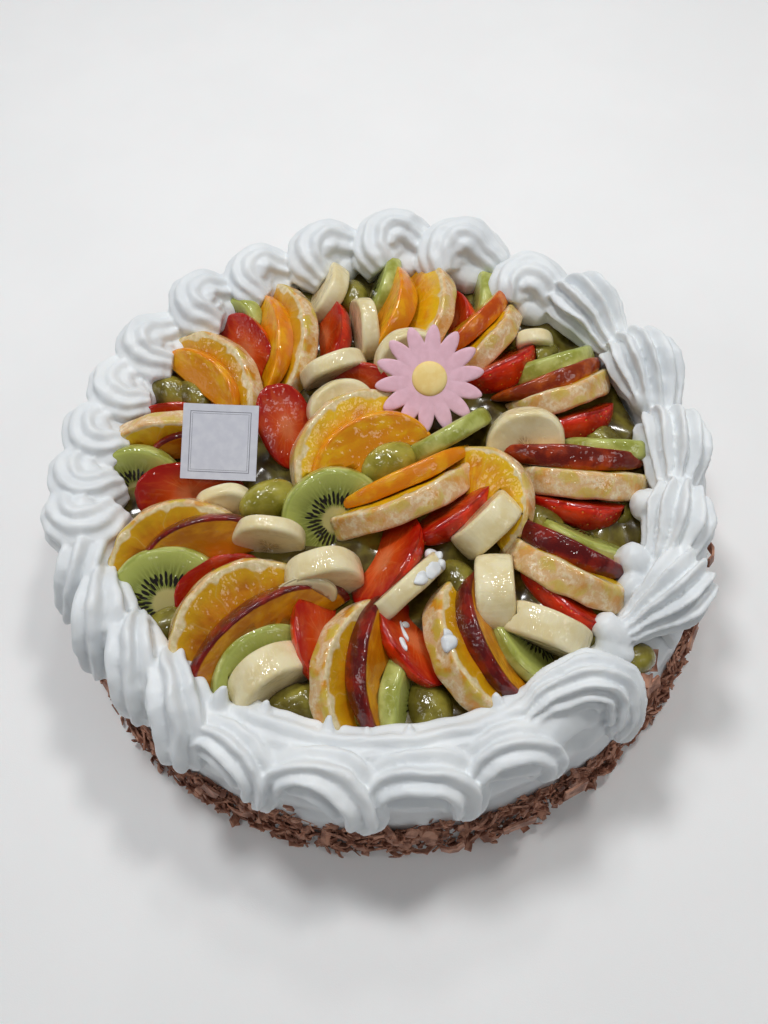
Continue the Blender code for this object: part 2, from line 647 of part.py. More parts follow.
def build_fruit(guards):
    """Lay the fruit from the top of the pile down, each piece cut clear of those over it."""
    bm = bmesh.new()
    add_lathe(bm, [
        (FRUIT_RADIUS_LOW, DECK_HEIGHT + GAP),
        (FRUIT_RADIUS_LOW, FRUIT_WALL_HEIGHT - 0.2 * MM),
        (FRUIT_RADIUS_HIGH, FRUIT_RIM_HEIGHT),
        (FRUIT_RADIUS_HIGH, 95 * MM),
    ], 72)
    bmesh.ops.translate(bm, vec=(FRUIT_CENTRE_X, 0, 0), verts=bm.verts)
    bowl = add_object("bowl", bm, ["cream"])

    nodes = []
    for name in dict.fromkeys(row[0] for row in FRUIT):
        rows = [row for row in FRUIT if row[0] == name]
        piece = add_piece(name, rows[0], look_of(rows[0]))
        for row in rows[1:]:
            partner = add_piece("partner", row, look_of(row))
            cut_away(piece, partner, "UNION")
            bpy.data.objects.remove(partner, do_unlink=True)
        for guard in guards:
            if boxes_meet(piece, guard):
                cut_away(piece, guard)
        cut_away(piece, bowl, "INTERSECT")
        keep_largest(piece)
        nodes.append(piece)
        for row in rows:
            guards.append(add_piece("guard", row, look_of(row), GAP))
    for helper in guards + [bowl]:
        bpy.data.objects.remove(helper, do_unlink=True)
    return nodes


# Daisy and card, leaned to the front on the fruit

def decoration_place(centre, turn):
    place = Matrix.Translation(centre) @ Matrix.Rotation(math.radians(DECORATION_TILT), 4, "X")
    return place @ Matrix.Rotation(math.radians(turn), 4, "Z")


def add_petals(name, radius, half):
    bm = bmesh.new()
    outline = []
    petal = 2 * math.pi / DAISY_PETALS
    for i in range(DAISY_PETALS):
        for share, reach in PETAL_OUTLINE:
            angle = petal * (i + share)
            outline.append((radius * reach * math.cos(angle), radius * reach * math.sin(angle)))
    low = [bm.verts.new((x, y, -half)) for x, y in outline]
    high = [bm.verts.new((x, y, half)) for x, y in outline]
    bridge_rings(bm, [low, high])
    return add_object(name, bm, ["sugar_pink"])


def build_daisy():
    """A thin flower with pointed petals and a low domed heart, all one piece."""
    half = DAISY_THICKNESS / 2
    daisy = add_petals("daisy", DAISY_RADIUS, half)
    bm = bmesh.new()
    add_lathe(bm, [
        (DAISY_HEART_RADIUS, -half / 2),
        (DAISY_HEART_RADIUS, half + 0.5 * MM),
        (0.62 * DAISY_HEART_RADIUS, half + 1.5 * MM),
    ], 16)
    heart = add_object("heart", bm, ["banana"])
    cut_away(daisy, heart, "UNION")
    bpy.data.objects.remove(heart, do_unlink=True)
    daisy.data.transform(decoration_place(DAISY_CENTRE, DAISY_TURN))
    guard = add_petals("guard", DAISY_RADIUS + GAP, half + GAP)
    guard.data.transform(decoration_place(DAISY_CENTRE, DAISY_TURN))
    return daisy, guard


def add_card(name, side, thickness):
    bm = bmesh.new()
    bmesh.ops.create_cube(bm, size=1.0)
    bmesh.ops.scale(bm, vec=(side, side, thickness), verts=bm.verts)
    bmesh.ops.transform(bm, matrix=decoration_place(CARD_CENTRE, CARD_TURN), verts=bm.verts)
    return add_object(name, bm, ["card_white"])


clear_scene()
build_body()
for index, start in enumerate(BORDER_SPLITS):
    end = BORDER_SPLITS[(index + 1) % 4] + (360 if index == 3 else 0)
    build_border(f"cream_border_{index + 1}", start + SPLIT_HALF, end - SPLIT_HALF)
daisy_node, daisy_guard = build_daisy()
card_node = add_card("card", CARD_SIDE, CARD_THICKNESS)
card_guard = add_card("guard", CARD_SIDE + 2 * GAP, CARD_THICKNESS + 2 * GAP)
build_fruit([daisy_guard, card_guard])
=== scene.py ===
"""Looks of the fruit sponge cake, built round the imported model.

Metres, +Z up, in the model's own frame. Sizes in the tables are in millimetres and degrees.
Azimuths run counter-clockwise from +X, and the front of the cake is -Y.
"""
import math
import random

import bmesh
import bpy
from mathutils import Matrix, Vector, noise


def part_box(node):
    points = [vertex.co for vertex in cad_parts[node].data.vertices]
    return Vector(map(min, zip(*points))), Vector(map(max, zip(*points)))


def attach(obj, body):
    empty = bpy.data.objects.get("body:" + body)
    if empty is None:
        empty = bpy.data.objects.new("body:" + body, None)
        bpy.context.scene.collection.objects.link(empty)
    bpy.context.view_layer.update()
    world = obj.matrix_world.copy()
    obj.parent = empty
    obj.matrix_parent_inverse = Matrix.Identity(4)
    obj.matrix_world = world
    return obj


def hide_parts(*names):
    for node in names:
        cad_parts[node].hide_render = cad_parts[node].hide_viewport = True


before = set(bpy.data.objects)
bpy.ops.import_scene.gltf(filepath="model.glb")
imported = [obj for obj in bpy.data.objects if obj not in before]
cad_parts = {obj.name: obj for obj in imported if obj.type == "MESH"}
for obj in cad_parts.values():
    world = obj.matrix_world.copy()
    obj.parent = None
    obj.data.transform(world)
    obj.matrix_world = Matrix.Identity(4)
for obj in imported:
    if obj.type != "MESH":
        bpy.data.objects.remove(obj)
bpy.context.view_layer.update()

# Driving dimensions
MM = 0.001

DECK_HEIGHT = 46 * MM
DECK_RADIUS = 128 * MM
WALL_RADIUS = 133.5 * MM
FOOT_RADIUS = 140.5 * MM
FLAKE_BAND_HEIGHT = 26 * MM
BORDER_RADIUS = 121 * MM
BORDER_SEAT = DECK_HEIGHT + 0.35 * MM
BORDER_VOXEL = 0.75 * MM
BORDER_KEPT = 0.35  # share of the faces that the thinning leaves
FRUIT_CENTRE_X = -3.5 * MM
FRUIT_RADIUS = 110.5 * MM
JELLY_HEIGHT = 52.5 * MM
SHAVINGS = 3500
LONG_SHAVINGS = 150
WEDGE_EDGE = 1.6 * MM
GLAZE_IOR = 1.48
SCATTER_DEPTH = 2 * MM
EDGE_STEPS = 5
CREASE_ANGLE = math.radians(50)
SEED = 12
noise.seed_set(SEED)

DAISY_RADIUS = 22.5 * MM
DAISY_HEART_RADIUS = 7.2 * MM
DAISY_PETALS = 14
DAISY_THICKNESS = 1.2 * MM
DAISY_TURN = 15
DAISY_CENTRE = (23.4 * MM, 28.5 * MM, 71 * MM)
CARD_SIDE = 30 * MM
CARD_THICKNESS = 0.8 * MM
CARD_TURN = -8
CARD_CENTRE = (-62.5 * MM, 8.5 * MM, 70 * MM)
DECORATION_TILT = 26

# Piped shells round the cake: azimuth, kind, size, shift outward (mm), turn (degrees)
SHELLS = [
    (82, "curl", 1.08, 2, 0), (98, "curl", 1.05, 0, 4), (114, "curl", 1.00, -1, -3),
    (129, "curl", 1.04, 0, 3), (144, "curl", 1.00, 1, -2), (156.5, "curl", 0.95, 1, 4),
    (168, "curl", 0.93, 2, 0), (178.5, "curl", 0.94, 3, 8), (188, "curl", 0.96, 3, 22),
    (196.5, "drop", 0.88, 2, 0), (207, "drop", 0.94, 1, 6), (218, "drop", 0.92, 0, 0),
    (229, "drop", 0.96, 0, -6), (241.5, "arch", 0.94, 0, -4), (256.5, "arch", 1.04, 0, 0),
    (271.5, "arch", 1.0, 0, 3), (285.5, "arch", 0.96, -1, 6), (301.5, "hook", 0.96, 1, -2),
    (323, "fan", 0.92, -2, -16), (336, "fan", 0.97, -6, 2), (352, "fan", 1.00, -6, 0),
    (11, "fan", 1.06, -5, 0), (30, "fan", 1.04, -6, 2), (47, "curl", 1.02, -5, -4), (66, "curl", 1.10, 1, 0),
]

# The way the nozzle went in each kind of shell: along the ring, outward, height above the seat
# and radius (mm). A shell ends blunt, so that its ridges stand out as teeth.
SHELL_PATHS = {
    "curl": [(-17, -5.5, 7, 6.5), (-11, -3.5, 10.5, 10), (-3, -1.5, 13, 12.8), (4, -4, 13.5, 13.2),
             (6.5, -10, 12.5, 12), (4.5, -15, 10.5, 10), (3, -17.5, 9.5, 8.5)],
    "drop": [(-16, -11, 10, 6), (-10, -7.5, 13, 10), (-2, -3, 14, 12.5), (5, 2, 11, 12.5),
             (9.5, 6.5, 4, 11), (11.5, 9, -2, 9), (12, 10, -6.5, 5.5)],
    "arch": [(-16.5, 6, 3, 5), (-13.5, 3, 8, 7.5), (-6, 1.5, 11.5, 9.5), (3, 2.5, 11.5, 10.5),
             (10, 5.5, 7.5, 10.5), (13, 9, 0, 9.5), (13.5, 11, -6, 7), (13, 11.5, -10, 4)],
    "hook": [(-24, -10, 11, 6), (-11, -9, 14.5, 9), (1, -6.5, 15.5, 11), (8.5, -0.5, 13, 11.5),
             (10, 7, 5, 10), (7.5, 11, -4, 8), (5.5, 12, -8, 5)],
    "fan": [(17, 2, 12, 8), (14.5, 2, 14, 13.5), (8, 1.5, 14.5, 15), (-2, 1, 12.5, 11.8), (-12, 0, 10, 8),
            (-20, -2.5, 8.5, 5)],
}
# The fold that closes a curl's hollow side, in the columns of a path
CURL_CORE = [(-13, -9, 4, 4), (-9, -9.5, 7, 7.5), (-3, -11, 8.5, 8.5), (1, -14, 7.5, 7), (2, -17, 6, 4)]
# The nozzle's ridges: how many show round a shell, their depth as a share of the radius, and how
# far the shell's blunt head slants
SHELL_LOBES = {"curl": 11, "drop": 8, "arch": 8, "hook": 11, "fan": 12}
STAR_DEPTHS = {"curl": 0.12, "drop": 0.32, "arch": 0.34, "hook": 0.36, "fan": 0.42}
HEAD_SLANT = {"curl": 0.0, "drop": 0.0, "arch": 0.0, "hook": 0.0, "fan": 0.45}
STEPS_PER_LOBE = 14

# Large chips of chocolate: azimuth, distance from the middle, height, length, width (mm),
# turn about the upright and tip towards the outside (degrees)
LARGE_FLAKES = [
    (285.3, 143, 20, 13, 7, 90, 80), (295, 141.5, 22, 10, 7, 80, 75), (275, 143, 17, 9, 7, 95, 80),
    (237, 138, 24, 7, 6, 70, 70), (156, 135.5, 33, 12, 7, 100, 60), (160, 135, 31, 9, 6, 60, 70),
    (189, 138.5, 28, 11, 8, 80, 65), (191.5, 138, 24, 9, 6, 110, 70), (213, 137.5, 27, 9, 4, 90, 60),
    (216, 137, 29, 8, 3, 70, 50), (313, 124, 49, 11, 6, 20, 55), (314.5, 120, 50, 10, 6, -30, 40),
    (311.8, 129, 47, 9, 5, 40, 35), (315.5, 128, 48, 8, 5, -50, 30), (312.5, 133.5, 44, 8, 5, 80, 60),
    (251, 134.2, 40, 3.5, 3, 20, 80), (335, 139.5, 26, 12, 7, 90, 70), (343, 139.5, 24, 11, 6, 75, 75),
    (327, 139.5, 25, 10, 6, 100, 70), (351, 139, 24, 10, 7, 85, 80),
]
# Rings of cream: first azimuth, sweep, steps and the steps over which the ends grow; then distance
# from the middle, height above the seat and radius, each as its least and its gain (mm). The rope
# lies under the shells, the lip between the fruit and the arches, the shoulder over the wall.
ROPE = (317.5, 356, 180, 6, (112, 6.5), (2, 3), (5.5, 4.5))
LIP = (232, 78, 60, 8, (113, 0), (4, 5.5), (3, 4.8))
SHOULDER = (320, 350, 180, 1, (120.5, 0), (-4, 0), (12.3, 0))
# Lumps that the shells leave at the fruit: azimuth, distance from the middle, height, radius (mm)
LUMPS = [
    (19, 111, 60, 7), (7.5, 111.5, 60, 6.5), (357.5, 106.5, 60, 7), (342, 104, 59, 6.5),
    (329, 103.5, 58, 6.5), (324, 107, 55, 7), (314, 108, 57, 5.5), (312.5, 112, 54, 5),
]
# Small peaks where the nozzle was lifted: azimuth, distance from the middle, height (mm)
PEAKS = [
    (235.5, 107, 64), (244, 105.5, 63), (256, 104.5, 64), (262.5, 106.5, 62), (271, 107, 63),
    (287, 104.5, 63), (214, 107, 63), (222, 108, 62), (149, 104, 66), (152, 106, 64), (128, 105, 66),
]
# Hollows that the nozzle left: x, y, height, radius, depth (mm)
HOLLOWS = [(56, -115, 48, 9, 6), (43, -134, 44, 6, 3), (-21, -129, 46, 6, 3)]

# Fruit, by the nodes' name and the kinds of piece that follow each other in its rows. Each row:
# number of the node, x, y, top height, heading, lean, pitch, length, depth, thickness (mm and
# degrees). The heading is the way the long side points. The piece leans to the right of its
# heading, and its pitch lowers the leading end. A berry of negative length points backwards.
FRUIT_GROUPS = [
    ("banana", ("disc",), [
        (1, -9, 93, 66, 76, 38, 0, 31, 30, 9), (2, 1.5, 71.5, 69, 98, 12, 0, 30, 29, 8),
        (3, -15, 44, 70, 198, -20, 0, 29, 26, 8), (3, -17, 32.5, 70, 203, 45, 0, 29, 28, 9),
        (4, 15, 54, 72, 196, 28, 0, 29, 28, 9), (5, 61, 9, 71, 170, 38, 0, 31, 30, 9),
        (6, 41.5, -38, 72, 222, -22, 0, 28, 26, 12), (7, 36, -62, 71, 264, 8, 0, 29, 25, 14),
        (8, 51.5, -80, 70, 151, -12, 0, 32, 28, 12), (9, 8, -60, 71, 218, -20, 0, 33, 28, 8),
        (10, -45.5, -28.5, 70, 172, 6, 0, 28, 27, 7), (10, -25.5, -47, 71, 186, 5, 0, 29, 29, 11),
        (11, -47.5, -83, 67, 208, 6, 0, 31, 30, 13),
    ]),
    ("kiwifruit", ("disc",), [
        (1, 15, 96, 65, 76, 26, 0, 41, 40, 8), (2, 57, 83, 63, 82, 16, 0, 38, 38, 8),
        (3, 81, 35, 65, 14, 32, 0, 40, 40, 9), (4, 93, -9.5, 65, 350, 30, 0, 39, 38, 8),
        (5, 69, -47, 62, 325, 38, 0, 40, 38, 7), (6, 36, -82, 61, 290, 48, 0, 42, 40, 7),
        (7, -5, -94, 61, 256, 20, 0, 39, 39, 8), (8, -57, -71, 63, 218, 45, 0, 42, 40, 7),
        (9, -89, -32, 63, 191, 58, 0, 44, 43, 7), (10, -101, 15.5, 63, 180, 40, 0, 40, 40, 8),
        (11, -24, -8, 68, 195, 48, 0, 41, 40, 8), (12, 33, 3.5, 70, 207, -28, 0, 39, 36, 8),
    ]),
    ("citrus_nectarine", ("slice", "wedge"), [
        (1, -57, 60, 67, 130, 52, 0, 62, 31, 9), (1, -66, 53, 66, 133, 58, 0, 44, 14, 9),
        (2, -24, 74, 67, 98, 46, 0, 66, 31, 9), (2, -35, 69, 66, 94, 50, 0, 54, 20, 10),
        (3, 38.5, 77, 67, 82, 46, 0, 64, 31, 9), (3, 20, 78, 66, 76, 50, 0, 50, 20, 12),
        (4, 58, 51, 66, 48, 40, 0, 56, 28, 10), (4, 53, 62, 67, 44, 44, 0, 52, 20, 9),
        (5, 82, 17, 66, 16, 36, 0, 48, 24, 10), (5, 78, 25, 67, 17, 38, 0, 50, 20, 9),
        (6, 77, -25, 66, 348, 34, 0, 60, 30, 11), (6, 75, -13, 67, 349, 34, 0, 62, 20, 10),
        (7, 60, -62, 67, 325, 34, 0, 56, 28, 11), (7, 63, -51, 67, 324, 36, 0, 50, 20, 10),
        (8, 13, -83, 66, 282, 48, 0, 58, 29, 11), (8, 25, -79, 66, 282, 48, 0, 52, 20, 10),
        (9, -27, -79, 66, 249, 44, 0, 60, 30, 10), (9, -15, -80, 66, 258, 42, 0, 56, 20, 10.5),
        (10, -68, -48, 67, 216, 56, 0, 64, 32, 9), (10, -54, -61, 66, 212, 50, 0, 68, 20, 12),
        (11, -86, -15, 67, 195, 52, 0, 58, 29, 9), (11, -74, -23, 66, 193, 50, 0, 52, 18, 11),
        (12, -21, 20, 71, 219, 55, 0, 67, 33, 9), (12, -9, 12, 70, 204, 58, 0, 52, 20, 9),
        (13, 12.5, -28, 69, 20, 40, 0, 68, 30, 10), (13, 12, -15.5, 70, 21, 32, 0, 60, 20, 8),
        (13, 54, -16, 68, 112, 54, 0, 48, 24, 8),
    ]),
    ("citrus", ("slice",), [
        (1, -90, 26, 67, 184, 20, 0, 56, 22, 9),
    ]),
    ("strawberry", ("berry",), [
        (1, -46, 69, 66, 122, 48, 0, -42, 25, 13), (2, -48, 14, 64, 283, 72, 32, 37, 25, 12),
        (3, -10.5, 70, 65, 90, 42, 0, -38, 26, 13), (4, -3, 45.5, 65, 160, 40, 0, 26, 20, 10),
        (5, 46, 74, 62, 88, 35, 0, 30, 20, 10), (6, 57, 37, 67, 24, 40, 0, -38, 28, 15),
        (7, 82, 8, 64.5, 10, 38, 0, -38, 28, 15), (8, 73, -32, 64, 345, 40, 0, -38, 27, 14),
        (9, 59, -68, 63, 313, 42, 0, -42, 24, 12), (10, 31, -29.5, 66, 33, 42, 0, 42, 22, 12),
        (11, 7, -49, 66, 60, 50, 0, -42, 28, 13), (12, -78, 4, 66, 182, 45, 0, -44, 27, 13),
        (13, -69.5, -38.5, 62, 208, 45, 0, -36, 26, 12), (14, -36, -72.5, 66, 272, 46, 0, 38, 26, 12),
        (15, -2, -80, 66, 294, 46, 0, 38, 24, 12),
    ]),
    ("grape", ("grape",), [
        (1, 3, -1, 66, 198, 0, 0, 26, 19, 19),
    ]),
]
FRUIT = [
    (f"{name}_{row[0]:02d}", kinds[index % len(kinds)], row[1:])
    for name, kinds, rows in FRUIT_GROUPS
    for index, row in enumerate(rows)
]

# Grapes sunk in the gaps between the fruit: x, y, top height, heading, length, width
SUNK_GRAPES = [
    (-37.5, -94, 58.5, 185, 24, 16), (9, -100, 58.5, 100, 24, 17), (25, -55.5, 62, 120, 22, 15),
    (-89, 48, 61, 140, 24, 16), (-53.5, 91, 61, 120, 20, 15), (72.5, -76.5, 57, 40, 22, 16),
    (85, -89, 54.5, 20, 15, 12), (-87, -60, 57, 220, 24, 16), (-5, 92, 61, 90, 20, 15),
    (-58, -71, 60, 220, 20, 15), (73.5, 47, 61, 30, 20, 15), (46.5, -12.5, 63, 110, 20, 15),
    (-35.5, -76.5, 59, 70, 18, 13), (-10, -97.5, 58.5, 200, 24, 16), (-78, 45, 60, 130, 20, 15),
    (-64, -92, 58, 230, 22, 15), (60, -33, 60, 330, 20, 15), (92, 3, 58, 300, 24, 15),
    (90, -25, 57, 290, 24, 15),
]
# Bits tucked into the gaps: look, kind, and the fruit's columns from x on
BITS = [("grape", "grape", (-46, -13, 65.5, 200, 0, 0, 24, 16, 16))]
BITS += [
    ("sunk_shaded_grape", "grape", (x, y, top, heading, 0, 0, length, width, width))
    for x, y, top, heading, length, width in SUNK_GRAPES
]
BITS += [
    ("kiwifruit", "disc", (-51.5, 87, 63.5, 128, 30, 0, 26, 25, 8)),
    ("strawberry", "berry", (-87, 36, 64, 176, 40, 0, 30, 20, 10)),
    ("banana", "disc", (72, 50.5, 66, 355, 14, 0, 15, 15, 7)),
    ("banana", "disc", (-63.5, -9.5, 65, 186, 20, 0, 24, 23, 7)),
    ("banana", "disc", (-33, -52.5, 68, 184, 24, 0, 24, 20, 2.6)),
    ("plum", "wedge", (-79, 19.5, 62.5, 184, 30, 0, 32, 10, 5)),
]

# Flecks of cream that the nozzle left on the fruit: x, y, length, width, rise, heading
FLECKS = [
    (15.2, -44.2, 4.6, 3.8, 2.2, 20), (17.6, -47.2, 3.6, 3.0, 1.8, 80), (15.2, -54.6, 9, 5.5, 1.2, 38),
    (10.5, -58.4, 6, 4.5, 0.8, 30), (18.6, -51.4, 4.5, 4.0, 1.6, 60), (2.6, -73.5, 9, 2.2, 0.9, 100),
    (1.8, -79.5, 6, 2.6, 1.0, 85), (3.4, -70.5, 4, 3, 1.0, 20), (17.2, -82.4, 6.5, 5.0, 1.6, 60),
    (17.6, -78.8, 4.2, 3.6, 1.3, 20),
]

# How uneven each kind of piece is: amount and width of the unevenness (mm)
UNEVENNESS = {"slice": (0.9, 9), "wedge": (0.6, 14), "disc": (0.5, 11), "berry": (0.7, 9), "grape": (0.4, 12)}

# The skins of the wedges of stone fruit, by their nodes' numbers; the others are plums
SKIN_NUMBERS = {"peach": (1, 2, 3, 12, 13), "red": (4,), "russet": (5,), "garnet": (6,)}
SKINS = {
    f"citrus_nectarine_{number:02d}": look for look, numbers in SKIN_NUMBERS.items() for number in numbers
}

# Orange slices drawn in a darker copy of the orange flesh: painted shade, for faces that lie in shade over
# the dark bed
SHADED_CITRUS = tuple(f"citrus_nectarine_{number:02d}" for number in (1, 2, 8, 9, 10, 11))

# Camera of the photograph: focal length over picture height, places in metres, roll in degrees
FOCAL_SHARE = 770.7 / 1024
CAMERA_PLACE = Vector((-0.0004, -0.1642, 0.3247))
CAMERA_TARGET = Vector((-0.0004, 0.0069, 0.0))
CAMERA_ROLL = -5.65


# Small tools

def polar(radius, azimuth, height):
    angle = math.radians(azimuth)
    return Vector((radius * math.cos(angle), radius * math.sin(angle), height))


def smooth_step(low, high, value):
    share = min(1.0, max(0.0, (value - low) / (high - low)))
    return share * share * (3 - 2 * share)


def add_object(name, bm, look, place=None):
    bmesh.ops.recalc_face_normals(bm, faces=bm.faces)
    mesh = bpy.data.meshes.new(name)
    bm.to_mesh(mesh)
    bm.free()
    mesh.materials.append(look)
    mesh.shade_smooth()
    made = bpy.data.objects.new(name, mesh)
    bpy.context.scene.collection.objects.link(made)
    if place is not None:
        made.matrix_world = place
    return made


def freeze(target):
    """Replace an object's mesh by what its modifiers make of it."""
    graph = bpy.context.evaluated_depsgraph_get()
    mesh = bpy.data.meshes.new_from_object(target.evaluated_get(graph))
    target.modifiers.clear()
    target.data = mesh


def bridge_rings(bm, rings, caps=True):
    count = len(rings[0])
    for low, high in zip(rings, rings[1:]):
        for i in range(count):
            j = (i + 1) % count
            bm.faces.new((low[i], low[j], high[j], high[i]))
    if caps:
        bm.faces.new(list(reversed(rings[0])))
        bm.faces.new(rings[-1])


def unsettle(bm, amount, size, seed):
    """Push the vertices about by smooth noise, so that no two pieces are alike."""
    shift = Vector((seed * 1.37, seed * 0.71, seed * 2.13))
    for vertex in bm.verts:
        vertex.co += noise.noise_vector(vertex.co / size + shift) * amount


# Shader tools

class Shader:
    """A material under construction: nodes are added by short calls, links by sockets."""

    def __init__(self, name):
        self.material = bpy.data.materials.new(name)
        self.material.use_nodes = True
        self.tree = self.material.node_tree
        self.principled = self.tree.nodes["Principled BSDF"]

    def node(self, kind, settings=None, *entries, **inputs):
        """A new node: the entries go to its first sockets, the inputs to the sockets they name."""
        made = self.tree.nodes.new(kind)
        for key, value in (settings or {}).items():
            setattr(made, key, value)
        for index, value in enumerate(entries):
            self.set(made.inputs[index], value)
        for key, value in inputs.items():
            self.set(made.inputs[key], value)
        return made

    def set(self, socket, value):
        if isinstance(value, bpy.types.NodeSocket):
            self.tree.links.new(value, socket)
        elif socket.type == "RGBA":
            socket.default_value = (*value, 1.0)
        else:
            socket.default_value = value

    def math(self, operation, a, b=0.0):
        return self.node("ShaderNodeMath", {"operation": operation}, a, b).outputs[0]

    def plus(self, a, b):
        return self.math("ADD", a, b)

    def minus(self, a, b):
        return self.math("SUBTRACT", a, b)

    def times(self, a, b):
        return self.math("MULTIPLY", a, b)

    def size(self, a):
        return self.math("ABSOLUTE", a)

    def reach(self, a, b):
        """The length of a line that runs a one way and b across it."""
        return self.math("SQRT", self.plus(self.math("POWER", a, 2.0), self.math("POWER", b, 2.0)))

    def range(self, value, low, high):
        """0 at low and 1 at high, smoothly."""
        settings = {"interpolation_type": "SMOOTHSTEP"}
        return self.node("ShaderNodeMapRange", settings, value, low, high).outputs[0]

    def mix(self, share, a, b):
        made = self.node("ShaderNodeMix", {"data_type": "RGBA"}, share)
        self.set(made.inputs[6], a)
        self.set(made.inputs[7], b)
        return made.outputs[2]

    def place(self):
        """The point on the piece in millimetres of its own frame."""
        point = self.node("ShaderNodeTexCoord").outputs["Object"]
        return self.node("ShaderNodeVectorMath", {"operation": "SCALE"}, point, Scale=1000.0).outputs[0]

    def axes(self, vector):
        return self.node("ShaderNodeSeparateXYZ", None, vector).outputs

    def part(self):
        """The piece's normalised coordinates, stored on its mesh, as three numbers."""
        return self.axes(self.node("ShaderNodeAttribute", {"attribute_name": "part"}).outputs["Vector"])

    def vector(self, x, y, z=0.0):
        return self.node("ShaderNodeCombineXYZ", None, x, y, z).outputs[0]

    def noise(self, vector, scale, detail=2.0, roughness=0.5):
        made = self.node("ShaderNodeTexNoise", Vector=vector, Scale=scale, Detail=detail, Roughness=roughness)
        return made.outputs["Fac"]

    def voronoi(self, vector, scale):
        return self.node("ShaderNodeTexVoronoi", Vector=vector, Scale=scale).outputs["Distance"]

    def stretch(self, vector, x, y, z):
        return self.node("ShaderNodeVectorMath", {"operation": "MULTIPLY"}, vector, (x, y, z)).outputs[0]

    def bump(self, height, strength, distance):
        made = self.node("ShaderNodeBump", Height=height, Strength=strength, Distance=distance)
        return made.outputs["Normal"]

    def finish(self, colour, roughness, normal, coat=0.0, coat_roughness=0.05, scatter=0.0,
               scatter_radius=(1.0, 0.6, 0.3), coat_normal=None, specular=0.15):
        """Set the surface: roughnesses and weights from 0 to 1, the scatter's radius by colour."""
        values = {
            "Base Color": colour, "Roughness": roughness, "Specular IOR Level": specular,
            "Coat Weight": coat, "Coat Roughness": coat_roughness, "Coat IOR": GLAZE_IOR, "Normal": normal,
        }
        if scatter:
            values["Subsurface Weight"] = scatter
            values["Subsurface Radius"] = scatter_radius
            values["Subsurface Scale"] = SCATTER_DEPTH
        if coat_normal is not None:
            values["Coat Normal"] = coat_normal
        for key, value in values.items():
            self.set(self.principled.inputs[key], value)
        return self.material

    def glaze(self, vector):
        """The slow waves of a poured glaze, for the coat."""
        waves = self.noise(vector, 0.16, 2.0, 0.5)
        ripples = self.noise(vector, 0.55, 1.0)
        return self.bump(self.plus(waves, self.times(ripples, 0.22)), 0.8, 1.7 * MM)


# Materials

def banana_look():
    s = Shader("banana_flesh")
    x, y, z = s.part()
    place = s.place()
    radius = s.reach(x, z)
    angle = s.math("ARCTAN2", z, x)
    lobes = s.times(s.math("COSINE", s.times(angle, 3.0)), 0.07)
    grain = s.noise(place, 0.5, 4.0, 0.6)
    rays = s.noise(s.vector(s.times(angle, 4.0), s.times(radius, 1.5)), 2.2, 3.0)
    flesh = s.mix(s.range(s.noise(place, 0.09, 2.0), 0.38, 0.64), (0.75, 0.63, 0.34), (0.84, 0.75, 0.48))
    flesh = s.mix(s.times(s.range(grain, 0.45, 0.75), 0.35), flesh, (0.90, 0.84, 0.60))
    on_face = s.range(s.size(y), 0.7, 0.92)
    # The face goes tan towards its middle: partly the flesh's own browner core, partly painted shade on faces
    # that stand in shade.
    tan_and_shade = s.times(s.range(radius, 0.85, 0.25), on_face)
    flesh = s.mix(s.times(tan_and_shade, 0.42), flesh, (0.52, 0.36, 0.14))
    brown = s.mix(s.range(s.noise(place, 1.3, 3.0), 0.4, 0.62), (0.50, 0.31, 0.10), (0.20, 0.09, 0.03))
    middle = s.range(s.plus(radius, lobes), 0.38, 0.16)
    spot = s.times(s.times(middle, on_face), s.range(rays, 0.35, 0.62))
    flesh = s.mix(s.times(spot, 0.85), flesh, brown)
    ridges = s.noise(s.stretch(place, 1.0, 0.15, 1.0), 0.4, 3.0)
    normal = s.bump(s.plus(ridges, s.times(grain, 0.4)), 0.25, 0.6 * MM)
    return s.finish(flesh, 0.42, normal, 0.85, 0.06, 0.2, (1.2, 0.9, 0.3), s.glaze(place))


def seed_ring(s, angle, radius, count, middle, length):
    """A ring of teardrop seeds about a kiwifruit's core, each a little out of line."""
    turn = s.times(angle, count / (2 * math.pi))
    cell = s.math("FLOOR", turn)
    own = s.node("ShaderNodeTexWhiteNoise", {"noise_dimensions": "1D"}, W=cell).outputs["Value"]
    across = s.minus(s.minus(turn, cell), 0.5)
    across = s.times(across, s.times(radius, 2 * math.pi / count))
    along = s.minus(radius, s.plus(middle, s.times(own, 0.10)))
    away = s.plus(s.math("POWER", s.math("DIVIDE", along, length), 2.0),
                  s.math("POWER", s.math("DIVIDE", across, 0.32 * length), 2.0))
    return s.range(away, 1.1, 0.7)


